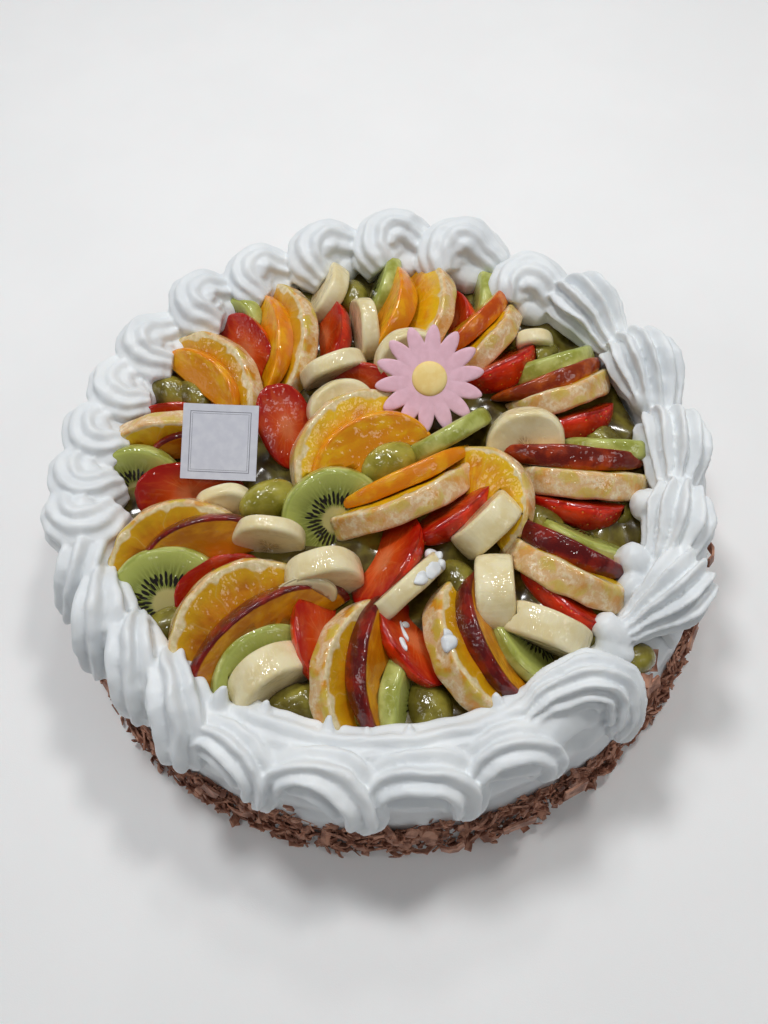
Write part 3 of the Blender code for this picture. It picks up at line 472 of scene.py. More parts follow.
def kiwifruit_look():
    s = Shader("kiwifruit_flesh")
    x, y, z = s.part()
    place = s.place()
    radius = s.reach(x, z)
    angle = s.math("ARCTAN2", z, x)
    wander = s.noise(place, 0.25, 2.0)
    radius = s.plus(radius, s.times(s.minus(wander, 0.5), 0.08))
    rays = s.noise(s.vector(s.times(angle, 9.0), s.times(radius, 2.0)), 1.6, 2.0)
    flesh = s.mix(s.range(radius, 0.40, 0.92), (0.11, 0.13, 0.013), (0.42, 0.46, 0.11))
    inner = s.times(s.range(radius, 0.92, 0.40), s.range(rays, 0.46, 0.60))
    flesh = s.mix(s.times(inner, 0.6), flesh, (0.44, 0.49, 0.13))
    flesh = s.mix(s.range(radius, 0.32, 0.22), flesh, (0.50, 0.44, 0.17))
    flesh = s.mix(s.times(s.range(radius, 0.93, 0.98), 0.5), flesh, (0.20, 0.23, 0.03))
    seeds = s.math("MAXIMUM", seed_ring(s, angle, radius, 30, 0.33, 0.085),
                   seed_ring(s, angle, radius, 37, 0.43, 0.080))
    flesh = s.mix(seeds, flesh, (0.010, 0.007, 0.004))
    broad = s.noise(place, 0.14, 2.0)
    side = s.mix(s.range(broad, 0.36, 0.66), (0.31, 0.33, 0.05), (0.52, 0.55, 0.17))
    fine = s.noise(s.stretch(place, 1.0, 0.5, 1.0), 0.8, 3.0)
    side = s.mix(s.times(s.range(fine, 0.5, 0.72), 0.25), side, (0.56, 0.58, 0.20))
    on_side = s.range(s.size(y), 0.95, 0.70)
    on_side = s.times(on_side, s.range(radius, 0.78, 0.90))
    colour = s.mix(on_side, flesh, side)
    normal = s.bump(s.plus(s.times(fine, 0.6), rays), 0.22, 0.5 * MM)
    return s.finish(colour, 0.35, normal, 0.95, 0.05, 0.25, (0.8, 1.0, 0.3), s.glaze(place))


def citrus_look(name, deep, middle, bright, worn_share):
    s = Shader(name)
    x, y, z = s.part()
    place = s.place()
    radius = s.reach(x, z)
    angle = s.math("ARCTAN2", z, x)
    wander = s.noise(place, 0.08, 2.0)
    turn = s.plus(s.times(angle, 5 / math.pi), s.times(wander, 0.9))
    across = s.size(s.minus(s.math("FRACT", turn), 0.5))
    gap = s.times(s.minus(0.5, across), s.times(radius, 18.0))
    membrane = s.range(gap, 0.42, 0.12)
    sacs = s.voronoi(s.vector(s.times(angle, 8.0), s.times(radius, 2.6), y), 1.3)
    flesh = s.mix(s.range(s.noise(place, 0.11, 3.0), 0.38, 0.64), deep, middle)
    flesh = s.mix(s.times(s.range(sacs, 0.70, 0.15), 0.3), flesh, bright)
    scallop = s.plus(radius, s.times(s.range(gap, 3.0, 0.3), 0.05))
    flesh = s.mix(s.times(s.range(scallop, 0.66, 0.90), 0.75), flesh, bright)
    ragged = s.times(s.minus(s.noise(place, 0.3, 3.0), 0.5), 0.06)
    pith = s.mix(s.range(s.noise(place, 0.45, 4.0), 0.35, 0.7), (0.66, 0.53, 0.26), (0.84, 0.70, 0.44))
    colour = s.mix(s.times(membrane, 0.12), flesh, pith)
    colour = s.mix(s.range(s.plus(scallop, ragged), 0.905, 0.94), colour, pith)
    rosy = s.mix(s.range(s.noise(place, 0.35, 4.0, 0.6), 0.40, 0.62), (0.72, 0.46, 0.22), (0.86, 0.72, 0.48))
    bare = s.range(s.noise(place, 0.17, 3.0, 0.5), 0.43, 0.60)
    worn = s.mix(s.range(s.noise(place, 0.13, 2.0), 0.42, 0.6), (0.66, 0.28, 0.02), (0.62, 0.44, 0.06))
    rim = s.mix(s.times(bare, worn_share), rosy, worn)
    on_rim = s.times(s.range(s.size(y), 0.99, 0.90), s.range(radius, 0.92, 0.96))
    colour = s.mix(on_rim, colour, rim)
    height = s.plus(s.times(sacs, -0.3), s.noise(place, 0.4, 3.0))
    normal = s.bump(height, 0.35, 0.7 * MM)
    return s.finish(colour, 0.35, normal, 0.95, 0.05, 0.12, (1.2, 0.5, 0.1), s.glaze(place))


def stone_fruit_look(name, dark_skin, light_skin, dark_flesh, light_flesh):
    s = Shader(name)
    x, _, z = s.part()
    place = s.place()
    radius = s.reach(x, z)
    patches = s.noise(place, 0.12, 3.0, 0.55)
    fibres = s.noise(s.stretch(place, 0.5, 2.0, 1.0), 0.25, 3.0)
    flesh = s.mix(s.range(fibres, 0.35, 0.7), dark_flesh, light_flesh)
    flesh = s.mix(s.range(radius, 0.78, 0.45), flesh, dark_flesh)
    skin = s.mix(s.range(patches, 0.42, 0.66), dark_skin, light_skin)
    speckle = s.range(s.voronoi(place, 0.7), 0.20, 0.08)
    skin = s.mix(s.times(speckle, 0.2), skin, light_skin)
    edge = s.plus(radius, s.times(s.minus(patches, 0.5), 0.06))
    on_skin = s.range(edge, 0.925, 0.955)
    colour = s.mix(on_skin, flesh, skin)
    normal = s.bump(s.plus(s.times(fibres, 0.6), s.times(patches, 0.5)), 0.22, 0.7 * MM)
    return s.finish(colour, 0.3, normal, 1.0, 0.04, 0.15, (1.0, 0.4, 0.1), s.glaze(place))


def strawberry_look():
    s = Shader("strawberry_flesh")
    x, y, z = s.part()
    place = s.place()
    skin_patch = s.noise(place, 0.12, 3.0)
    skin = s.mix(s.range(skin_patch, 0.38, 0.66), (0.46, 0.007, 0.002), (0.76, 0.032, 0.004))
    pits = s.voronoi(place, 0.38)
    seed = s.range(pits, 0.16, 0.11)
    skin = s.mix(s.times(seed, 0.75), skin, (0.86, 0.42, 0.08))
    reach = s.reach(s.times(x, 1.9), z)
    streak = s.noise(s.stretch(place, 0.25, 1.0, 1.0), 0.5, 3.0)
    turn = s.math("ARCTAN2", z, s.times(x, 1.9))
    veins = s.noise(s.vector(s.times(turn, 6.0), s.times(reach, 0.8)), 1.4, 2.0)
    cut = s.mix(s.range(reach, 0.25, 0.92), (0.64, 0.070, 0.007), (0.38, 0.007, 0.002))
    cut = s.mix(s.times(s.range(streak, 0.5, 0.72), 0.25), cut, (0.74, 0.15, 0.02))
    fan = s.times(s.range(veins, 0.50, 0.66), s.range(reach, 0.80, 0.35))
    cut = s.mix(s.times(fan, 0.28), cut, (0.84, 0.28, 0.08))
    cut = s.mix(s.times(s.range(reach, 0.38, 0.12), 0.45), cut, (0.84, 0.30, 0.12))
    on_cut = s.range(y, -0.10, -0.04)
    colour = s.mix(on_cut, skin, cut)
    dimple = s.times(s.range(pits, 0.34, 0.10), s.minus(1.0, on_cut))
    height = s.minus(s.times(streak, 0.3), dimple)
    normal = s.bump(height, 0.5, 0.6 * MM)
    return s.finish(colour, 0.3, normal, 1.0, 0.04, 0.15, (1.2, 0.3, 0.1), s.glaze(place))


def grape_look(name, dark, light, ripple):
    """A clear green skin or bed; the ripple of a poured glaze goes with the smoother coat."""
    s = Shader(name)
    place = s.place()
    patches = s.noise(place, 0.12, 3.0)
    colour = s.mix(s.range(patches, 0.35, 0.68), dark, light)
    normal = s.bump(s.noise(place, 0.4, 3.0), 0.15, 0.6 * MM)
    coat_roughness = 0.05 if ripple else 0.12
    coat_normal = s.glaze(place) if ripple else None
    return s.finish(colour, 0.25, normal, 1.0, coat_roughness, 0.2, (0.8, 0.8, 0.3), coat_normal)


def cream_look():
    s = Shader("whipped_cream")
    place = s.place()
    soft = s.noise(place, 0.05, 3.0)
    colour = s.mix(s.range(soft, 0.35, 0.7), (0.76, 0.79, 0.81), (0.83, 0.855, 0.865))
    fine = s.noise(place, 0.9, 4.0, 0.55)
    normal = s.bump(fine, 0.12, 0.5 * MM)
    return s.finish(colour, 0.42, normal, 0.0, 0.1, 0.35, (1.0, 0.9, 0.8), specular=0.4)


def chocolate_look():
    s = Shader("chocolate_shavings")
    place = s.place()
    patches = s.noise(place, 0.25, 4.0)
    colour = s.mix(s.range(patches, 0.36, 0.66), (0.24, 0.10, 0.065), (0.60, 0.31, 0.21))
    fine = s.noise(s.stretch(place, 1.0, 0.3, 1.0), 1.6, 3.0)
    colour = s.mix(s.times(s.range(fine, 0.62, 0.75), 0.4), colour, (0.62, 0.40, 0.30))
    normal = s.bump(fine, 0.5, 0.4 * MM)
    return s.finish(colour, 0.45, normal)


def sugar_look(name, low, high, size):
    s = Shader(name)
    place = s.place()
    patches = s.noise(place, size, 3.0)
    colour = s.mix(s.range(patches, 0.38, 0.66), low, high)
    normal = s.bump(s.noise(place, 2.0, 3.0), 0.15, 0.3 * MM)
    return s.finish(colour, 0.55, normal, 0.0, 0.1, 0.15, (1.0, 0.6, 0.6))


LOOKS = {
    "banana": banana_look(),
    "kiwifruit": kiwifruit_look(),
    "citrus": citrus_look("orange_flesh", (0.62, 0.21, 0.003), (0.76, 0.36, 0.004), (0.82, 0.55, 0.012), 0.8),
    # A darker copy of the orange flesh: painted shade for the slices whose faces lie in shade.
    "shaded_citrus": citrus_look("shaded_orange_flesh", (0.42, 0.11, 0.002), (0.60, 0.22, 0.003),
                               (0.66, 0.38, 0.006), 1.0),
    "garnet": stone_fruit_look("garnet_nectarine", (0.14, 0.008, 0.002), (0.36, 0.035, 0.003),
                               (0.56, 0.20, 0.003), (0.74, 0.35, 0.006)),
    "plum": stone_fruit_look("plum", (0.10, 0.003, 0.003), (0.26, 0.012, 0.004),
                             (0.52, 0.17, 0.003), (0.72, 0.32, 0.006)),
    "peach": stone_fruit_look("peach", (0.74, 0.22, 0.002), (0.84, 0.38, 0.004),
                              (0.74, 0.27, 0.002), (0.86, 0.46, 0.005)),
    "red": stone_fruit_look("red_nectarine", (0.52, 0.07, 0.003), (0.76, 0.22, 0.004),
                            (0.70, 0.30, 0.005), (0.80, 0.44, 0.01)),
    "russet": stone_fruit_look("russet_nectarine", (0.24, 0.025, 0.003), (0.45, 0.08, 0.004),
                               (0.60, 0.22, 0.004), (0.74, 0.36, 0.008)),
    "strawberry": strawberry_look(),
    "grape": grape_look("grape_skin", (0.24, 0.21, 0.02), (0.42, 0.37, 0.06), True),
    # A darker copy of the grape skin for the grapes low in the gaps: partly the glaze they lie in, partly
    # painted shade between the fruit.
    "sunk_shaded_grape": grape_look("sunk_shaded_grape_skin", (0.11, 0.085, 0.010), (0.27, 0.235, 0.035), True),
    # The bed's dark olive-brown: partly the glaze's own tint, partly painted shade in the gaps.
    "jelly_and_shade": grape_look("jelly_bed_and_shade", (0.060, 0.038, 0.005), (0.17, 0.14, 0.018), False),
    "cream": cream_look(),
    "chocolate": chocolate_look(),
    "sugar_pink": sugar_look("pink_sugar_paste", (0.76, 0.47, 0.55), (0.82, 0.52, 0.61), 0.3),
    "sugar_yellow": sugar_look("yellow_sugar_paste", (0.89, 0.65, 0.24), (0.93, 0.72, 0.31), 0.25),
}


# Fruit shapes: in its own frame each piece has its long side along X, its thickness along Y
# and the middle of its top edge at the origin. It reaches down along -Z.

def outline_slice(length, depth, steps=40, floor=10):
    points = []
    for i in range(steps + 1):
        angle = math.pi * i / steps
        points.append((length / 2 * math.cos(angle), depth * math.sin(angle) - depth))
    for i in range(1, floor):
        points.append((-length / 2 + length * i / floor, -depth))
    return points


def outline_disc(length, depth, wobble, seed, steps=56):
    points = []
    for i in range(steps):
        angle = 2 * math.pi * i / steps
        reach = 1 + wobble * math.cos(3 * angle + seed) + 0.6 * wobble * math.cos(5 * angle + 2.3 * seed)
        points.append((length / 2 * reach * math.cos(angle), depth / 2 * reach * math.sin(angle) - depth / 2))
    return points


def outward_normals(outline):
    normals = []
    for i in range(len(outline)):
        before = outline[i - 1]
        after = outline[(i + 1) % len(outline)]
        along = Vector((after[0] - before[0], after[1] - before[1])).normalized()
        normals.append(Vector((along.y, -along.x)))
    return normals


def add_plate(bm, outline, middle, half_at, edge, bulge):
    """A plate across Y with rounded edges; its rim bulges and half_at gives half its thickness."""
    normals = outward_normals(outline)
    half = half_at(0.0)
    rows = [(edge, -1.0, share) for share in (0.25, 0.5, 0.75, 0.92)]
    for step in range(EDGE_STEPS + 1):
        angle = math.pi / 2 * step / EDGE_STEPS
        rows.append((edge * (1 - math.sin(angle)), -1 + edge / half * (1 - math.cos(angle)), 1.0))
    rows += [(0.0, -0.5, 1.0), (0.0, -0.17, 1.0)]
    rows += [(inset, -across, share) for inset, across, share in reversed(rows)]
    rings = []
    for inset, across, share in rows:
        ring = []
        grow = bulge * (1 - across * across)
        for (x, z), normal in zip(outline, normals):
            x = middle[0] + (x - normal.x * (inset - grow) - middle[0]) * share
            z = middle[1] + (z - normal.y * (inset - grow) - middle[1]) * share
            ring.append(bm.verts.new((x, across * half_at(z), z)))
        rings.append(ring)
    bridge_rings(bm, rings, caps=False)
    for ring, across in ((rings[0], -1), (rings[-1], 1)):
        hub = bm.verts.new((middle[0], across * half_at(middle[1]), middle[1]))
        for i in range(len(ring)):
            bm.faces.new((ring[i], ring[(i + 1) % len(ring)], hub))


def add_berry(bm, length, width, thickness, hollow):
    """Half a berry from cap (-X) to tip (+X): round skin at -Y, cut face at +Y."""
    rings = []
    steps = 22
    half_around = 14
    for i in range(steps + 1):
        place = -0.5 + i / steps
        tip = math.sqrt(max(0.0, 1 - ((place + 0.12) / 0.62) ** 2))
        cap = math.sqrt(max(0.0, 1 - ((-0.12 - place) / 0.39) ** 2)) if place < -0.12 else 1.0
        share = max(0.07, min(tip, cap) * (0.96 if place < 0.42 else 1.0))
        ring = []
        for k in range(half_around + 1):
            angle = math.pi * k / half_around
            ring.append((width / 2 * share * math.cos(angle), -thickness * share * math.sin(angle)))
        for k in range(1, half_around):
            across = -1 + 2 * k / half_around
            sink = hollow * math.exp(-(place / 0.28) ** 2 - (across / 0.5) ** 2)
            crown = 0.8 * MM * (1 - across * across) * share
            ring.append((width / 2 * share * across, crown - sink))
        rings.append([bm.verts.new((place * length, y, z - width / 2)) for z, y in ring])
    bridge_rings(bm, rings)


def add_grape(bm, length, width):
    bmesh.ops.create_uvsphere(bm, u_segments=36, v_segments=20, radius=1.0)
    bmesh.ops.scale(bm, vec=(length / 2, width / 2, width / 2), verts=bm.verts)
    bmesh.ops.translate(bm, vec=(0, 0, -width / 2), verts=bm.verts)


def piece_mesh(kind, fruit, length, depth, thickness, seed):
    half = thickness / 2

    def even(_):
        return half

    def taper(z):
        share = max(0.0, 1 + z / depth)
        return (WEDGE_EDGE + (thickness - WEDGE_EDGE) * share) / 2

    bm = bmesh.new()
    if kind in ("slice", "wedge"):
        half_at, edge, bulge = (even, 1.5, 0.3) if kind == "slice" else (taper, 1.0, 1.0)
        outline = outline_slice(length, depth)
        add_plate(bm, outline, (0.0, -0.75 * depth), half_at, edge * MM, bulge * MM)
    elif kind == "disc":
        wobble, edge = (0.02, 1.5) if fruit == "banana" else (0.008, 2.0)
        outline = outline_disc(length, depth, wobble, seed)
        add_plate(bm, outline, (0.0, -depth / 2), even, edge * MM, 0.5 * MM)
    elif kind == "berry":
        add_berry(bm, length, depth, thickness, 1.0 * MM)
    else:
        add_grape(bm, length, thickness)
    amount, size = UNEVENNESS[kind]
    unsettle(bm, amount * MM, size * MM, seed)
    return bm


def piece_place(x, y, top, heading, lean, pitch):
    place = Matrix.Translation((x * MM, y * MM, top * MM))
    place = place @ Matrix.Rotation(math.radians(heading), 4, "Z")
    place = place @ Matrix.Rotation(math.radians(pitch), 4, "Y")
    return place @ Matrix.Rotation(math.radians(lean), 4, "X")


def store_part(piece, kind, length, depth, thickness):
    """Store each vertex's place in the fruit, 1 at the rim, for the materials."""
    reach = depth if kind in ("slice", "wedge") else depth / 2
    across = thickness if kind == "berry" else thickness / 2
    values = []
    for vertex in piece.data.vertices:
        x = vertex.co.x / (length if kind == "berry" else length / 2)
        values += [x, vertex.co.y / across, (vertex.co.z + reach) / reach]
    attribute = piece.data.attributes.new("part", "FLOAT_VECTOR", "POINT")
    attribute.data.foreach_set("vector", values)


def world_box(target):
    points = [target.matrix_world @ vertex.co for vertex in target.data.vertices]
    low = [min(point[axis] for point in points) for axis in range(3)]
    high = [max(point[axis] for point in points) for axis in range(3)]
    return low, high


def boxes_meet(first, second):
    return all(first[0][axis] < second[1][axis] and second[0][axis] < first[1][axis] for axis in range(3))


def keep_largest(piece):
    """Drop the crumbs that a cut leaves beside the main body."""
    bm = bmesh.new()
    bm.from_mesh(piece.data)
    islands = []
    left = set(bm.verts)
    while left:
        island = {left.pop()}
        front = list(island)
        while front:
            vertex = front.pop()
            for edge in vertex.link_edges:
                other = edge.other_vert(vertex)
                if other in left:
                    left.remove(other)
                    island.add(other)
                    front.append(other)
        islands.append(island)
    main = max(islands, key=len, default=None)
    crumbs = [vertex for island in islands if island is not main for vertex in island]
    bmesh.ops.delete(bm, geom=crumbs, context="VERTS")
    bm.to_mesh(piece.data)
    bm.free()


def closed_copy(solid):
    """A copy of the solid with its split corners joined, to cut with."""
    bm = bmesh.new()
    bm.from_mesh(solid.data)
    bmesh.ops.transform(bm, matrix=solid.matrix_world, verts=bm.verts)
    bmesh.ops.remove_doubles(bm, verts=bm.verts, dist=0.001 * MM)
    mesh = bpy.data.meshes.new("cutter")
    bm.to_mesh(mesh)
    bm.free()
    return bpy.data.objects.new("cutter", mesh)


def cut_clear(piece, solids):
    """Cut the piece back from the solids that lie over it."""
    over = bpy.data.collections.new("over")
    cutters = [closed_copy(solid) for solid in solids]
    for cutter in cutters:
        over.objects.link(cutter)
    boolean = piece.modifiers.new("cut", "BOOLEAN")
    boolean.operation = "DIFFERENCE"
    boolean.operand_type = "COLLECTION"
    boolean.collection = over
    boolean.solver = "MANIFOLD"
    freeze(piece)
    bpy.data.collections.remove(over)
    for cutter in cutters:
        bpy.data.objects.remove(cutter)
    keep_largest(piece)


def make_piece(name, kind, fruit, look, sizes, seed, boxes, stands_for=None):
    """A piece of fruit in its place, cut back from the solids whose boxes it meets."""
    *place, length, depth, thickness = sizes
    size = (length * MM, depth * MM, thickness * MM)
    bm = piece_mesh(kind, fruit, *size, seed)
    piece = add_object(name, bm, LOOKS[look], piece_place(*place))
    bpy.context.view_layer.update()
    box = world_box(piece)
    over = [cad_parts[node] for node, other in boxes.items() if boxes_meet(box, other)]
    if over:
        cut_clear(piece, over)
    store_part(piece, kind, *size)
    piece.data.shade_smooth()
    piece.data.set_sharp_from_angle(angle=CREASE_ANGLE)
    if stands_for:
        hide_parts(stands_for)
    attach(piece, "root")


def look_of(node, kind):
    if kind == "wedge":
        return SKINS.get(node, "plum")
    return "shaded_citrus" if node in SHADED_CITRUS else node.split("_")[0]


def build_fruit():
    """The fruit of the frame; each node is cut back from the ones named before it."""
    boxes = {node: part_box(node) for node in ("daisy", "card")}
    for index, (node, kind, sizes) in enumerate(FRUIT):
        over = {other: box for other, box in boxes.items() if other != node}
        stands_for = None if kind == "wedge" else node
        name = f"{node}_{kind}_{index:02d}"
        make_piece(name, kind, node.split("_")[0], look_of(node, kind), sizes, index + 1, over, stands_for)
        boxes[node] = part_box(node)


def build_bits():
    """Grapes and bits of fruit in the gaps, cut to fit between the slices."""
    boxes = {node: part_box(node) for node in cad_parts}
    for index, (look, kind, sizes) in enumerate(BITS):
        slot = {"plum": "citrus", "sunk_shaded_grape": "grape"}.get(look, look)
        make_piece(f"tucked_{slot}_{index:02d}", kind, slot, look, sizes, index + 101, boxes)


def build_flecks():
    bm = bmesh.new()
    graph = bpy.context.evaluated_depsgraph_get()
    for x, y, length, width, rise, heading in FLECKS:
        above = Vector((x * MM, y * MM, 0.2))
        _, ground, slope, _, _, _ = bpy.context.scene.ray_cast(graph, above, Vector((0, 0, -1)))
        side = slope.cross(polar(1, heading, 0)).normalized()
        lie = Matrix((side.cross(slope), side, slope)).transposed().to_4x4()
        place = Matrix.Translation(ground) @ lie
        place = place @ Matrix.Diagonal((length / 2 * MM, width / 2 * MM, rise * MM, 1.0))
        bmesh.ops.create_icosphere(bm, subdivisions=3, radius=1.0, matrix=place)
    unsettle(bm, 1.1 * MM, 3.5 * MM, 7)
    flecks = add_object("cream_flecks", bm, LOOKS["cream"])
    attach(flecks, "root")


# Cream border

def along_path(rows, share):
    """The numbers of the rows, run smoothly from the first row to the last."""
    spot = share * (len(rows) - 1)
    i = min(int(spot), len(rows) - 2)
    t = spot - i
    before, low, high = rows[max(0, i - 1)], rows[i], rows[i + 1]
    after = rows[min(len(rows) - 1, i + 2)]
    return [
        0.5 * (2 * b + (c - a) * t + (2 * a - 5 * b + 4 * c - d) * t ** 2 + (3 * b - a - 3 * c + d) * t ** 3)
        for a, b, c, d in zip(before, low, high, after)
    ]


def add_star_tube(bm, points, radii, lobes, depth, steps, slant=0.0):
    """Sweep a rounded star along the points; its ends close to a small flat."""
    rings = []
    for i, point in enumerate(points):
        before = points[max(0, i - 1)]
        after = points[min(len(points) - 1, i + 1)]
        forward = (after - before).normalized()
        side = forward.cross(Vector((0, 0, 1))).normalized()
        up = side.cross(forward)
        lean = slant * (1 - i / (len(points) - 1))
        ring = []
        for k in range(steps):
            angle = 2 * math.pi * k / steps
            ridge = 1 - depth * (1 - abs(math.cos(lobes * angle / 2)) ** 1.5)
            reach = max(radii[i], 0.4 * MM) * ridge
            across = reach * math.cos(angle)
            spot = point + side * across + up * reach * math.sin(angle) - forward * across * lean
            ring.append(bm.verts.new(spot))
        rings.append(ring)
    bridge_rings(bm, rings)


def placed_points(rows, azimuth, size, shift, turn):
    """The points and radii of a path's rows, put in their place on the ring."""
    centre = polar(BORDER_RADIUS + shift * MM, azimuth, BORDER_SEAT)
    outward_way = polar(1, azimuth + turn, 0)
    along_way = polar(1, azimuth + turn + 90, 0)
    points = []
    radii = []
    for along, outward, height, radius in rows:
        step = along_way * along + outward_way * outward + Vector((0, 0, height))
        points.append(centre + step * size * MM)
        radii.append(radius * size * MM)
    return points, radii


def ring_path(start, sweep, steps, ends, reach, height, radius):
    """Points and radii along the ring, which grow over the given steps at both ends."""
    points = []
    radii = []
    for i in range(steps + 1):
        grown = min(1.0, min(i, steps - i) / ends)
        far, high, thick = ((low + gain * grown) * MM for low, gain in (reach, height, radius))
        points.append(polar(far, start + sweep * i / steps, BORDER_SEAT + high))
        radii.append(thick)
    return points, radii


def build_border():
    """The piped border: every swept form is fused into one skin, thinned and unsettled."""
    bm = bmesh.new()
    for azimuth, kind, size, shift, turn in SHELLS:
        rows = [along_path(SHELL_PATHS[kind], i / 39) for i in range(40)]
        points, radii = placed_points(rows, azimuth, size, shift, turn)
        lobes = SHELL_LOBES[kind]
        steps = STEPS_PER_LOBE * lobes
        add_star_tube(bm, points, radii, lobes, STAR_DEPTHS[kind], steps, HEAD_SLANT[kind])
        if kind == "curl":
            points, radii = placed_points(CURL_CORE, azimuth, size, shift, turn)
            add_star_tube(bm, points, radii, 1, 0.0, 24)
    add_star_tube(bm, *ring_path(*ROPE), 1, 0.0, 40)
    add_star_tube(bm, *ring_path(*LIP), 7, 0.2, 84)
    for azimuth, reach, height, radius in LUMPS:
        steps = (-4, -2, 1, 5, 9)
        points = [polar((reach + step) * MM, azimuth, (height - 0.3 * step) * MM) for step in steps]
        radii = [radius * share * MM for share in (0.45, 0.9, 1.0, 0.9, 0.6)]
        add_star_tube(bm, points, radii, 1, 0.0, 24)
    for azimuth, reach, height in PEAKS:
        steps = (0, 2, 5, 9)
        points = [polar((reach + step) * MM, azimuth, (height - 0.9 * step) * MM) for step in steps]
        add_star_tube(bm, points, [radius * MM for radius in (0.7, 1.8, 3.2, 5.0)], 1, 0.0, 20)
    add_star_tube(bm, *ring_path(*SHOULDER), 1, 0.0, 40)
    bmesh.ops.triangulate(bm, faces=bm.faces)
    border = add_object("piped_border", bm, LOOKS["cream"])
    remesh = border.modifiers.new("fuse", "REMESH")
    remesh.mode = "VOXEL"
    remesh.voxel_size = BORDER_VOXEL
    relax = border.modifiers.new("relax", "SMOOTH")
    relax.factor = 0.5
    relax.iterations = 2
    thin = border.modifiers.new("thin", "DECIMATE")
    thin.ratio = BORDER_KEPT
    freeze(border)
    for vertex in border.data.vertices:
        place = vertex.co.copy()
        broad = noise.noise_vector(place / (15 * MM)) * 1.5 * MM
        vertex.co += broad + noise.noise_vector(place / (5 * MM)) * 0.5 * MM
        for x, y, height, radius, depth in HOLLOWS:
            near = (place - Vector((x, y, height)) * MM).length / (radius * MM)
            if near < 1:
                inward = Vector((-place.x, -place.y, -0.3 * place.xy.length)).normalized()
                vertex.co += inward * depth * MM * (1 - near * near) ** 2
    border.data.shade_smooth()
    border.data.materials.clear()
    border.data.materials.append(LOOKS["cream"])
    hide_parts("cream_border_1", "cream_border_2", "cream_border_3", "cream_border_4")
    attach(border, "root")


# Cake body with its chocolate flakes

def body_profile():
    """Radius and height of the side, from the foot up to the deck."""
    band = FLAKE_BAND_HEIGHT
    return [
        (FOOT_RADIUS, 0.0),
        (FOOT_RADIUS - 1.2 * MM, 0.28 * band),
        (FOOT_RADIUS - 3.2 * MM, 0.62 * band),
        (FOOT_RADIUS - 5.0 * MM, band),
        (WALL_RADIUS, band + 4 * MM),
        (WALL_RADIUS - 0.8 * MM, DECK_HEIGHT - 5 * MM),
        (DECK_RADIUS, DECK_HEIGHT),
    ]


def side_radius(height):
    profile = body_profile()
    for (low_radius, low), (high_radius, high) in zip(profile, profile[1:]):
        if height <= high:
            return low_radius + (high_radius - low_radius) * (height - low) / (high - low)
    return DECK_RADIUS


def build_body():
    """The coat of cream: a smooth side with soft waves, and the flat deck under the fruit."""
    bm = bmesh.new()
    steps = 360
    rows = 34
    rings = []
    for row in range(rows + 1):
        height = DECK_HEIGHT * row / rows
        reach = side_radius(height) - 1.0 * MM
        ring = []
        for i in range(steps):
            azimuth = 360 * i / steps
            point = polar(reach, azimuth, height)
            wave = noise.noise(point / (16 * MM)) * 0.9 * MM + noise.noise(point / (5 * MM)) * 0.3 * MM
            ring.append(bm.verts.new(polar(reach + wave, azimuth, height)))
        rings.append(ring)
    bridge_rings(bm, rings)
    body = add_object("cream_coat", bm, LOOKS["cream"])
    body.data.set_sharp_from_angle(angle=CREASE_ANGLE)
    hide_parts("cake_body")
    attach(body, "root")


def add_shaving(bm, rng, place, length, width, thickness):
    """A thin bent chip of chocolate."""
    bend = rng.uniform(-0.5, 0.9)
    columns = 4
    tops = []
    lows = []
    for i in range(columns):
        x = -0.5 + i / (columns - 1)
        lift = bend * length * (0.25 - x * x)
        ragged = [rng.uniform(0.7, 1.15) for _ in range(2)]
        for side, rough in zip((-0.5, 0.5), ragged):
            y = side * width * rough
            tops.append(bm.verts.new(place @ Vector((x * length, y, lift + thickness / 2))))
            lows.append(bm.verts.new(place @ Vector((x * length, y, lift - thickness / 2))))
    for i in range(columns - 1):
        a, b, c, d = 2 * i, 2 * i + 1, 2 * i + 3, 2 * i + 2
        bm.faces.new((tops[a], tops[d], tops[c], tops[b]))
        bm.faces.new((lows[a], lows[b], lows[c], lows[d]))
        bm.faces.new((tops[a], lows[a], lows[d], tops[d]))
        bm.faces.new((tops[b], tops[c], lows[c], lows[b]))
    last = 2 * columns - 2
    bm.faces.new((tops[0], tops[1], lows[1], lows[0]))
    bm.faces.new((tops[last], lows[last], lows[last + 1], tops[last + 1]))


def side_place(rng, azimuth, reach, height, spread):
    """A place flat on the side, turned any way and tipped by a random spread."""
    turn = Matrix.Rotation(math.radians(azimuth), 4, "Z") @ Matrix.Rotation(math.radians(90), 4, "Y")
    turn = turn @ Matrix.Rotation(rng.uniform(-math.pi, math.pi), 4, "Z")
    tip = Matrix.Rotation(rng.gauss(0, spread), 4, "X") @ Matrix.Rotation(rng.gauss(0, spread), 4, "Y")
    return Matrix.Translation(polar(reach, azimuth, height)) @ turn @ tip


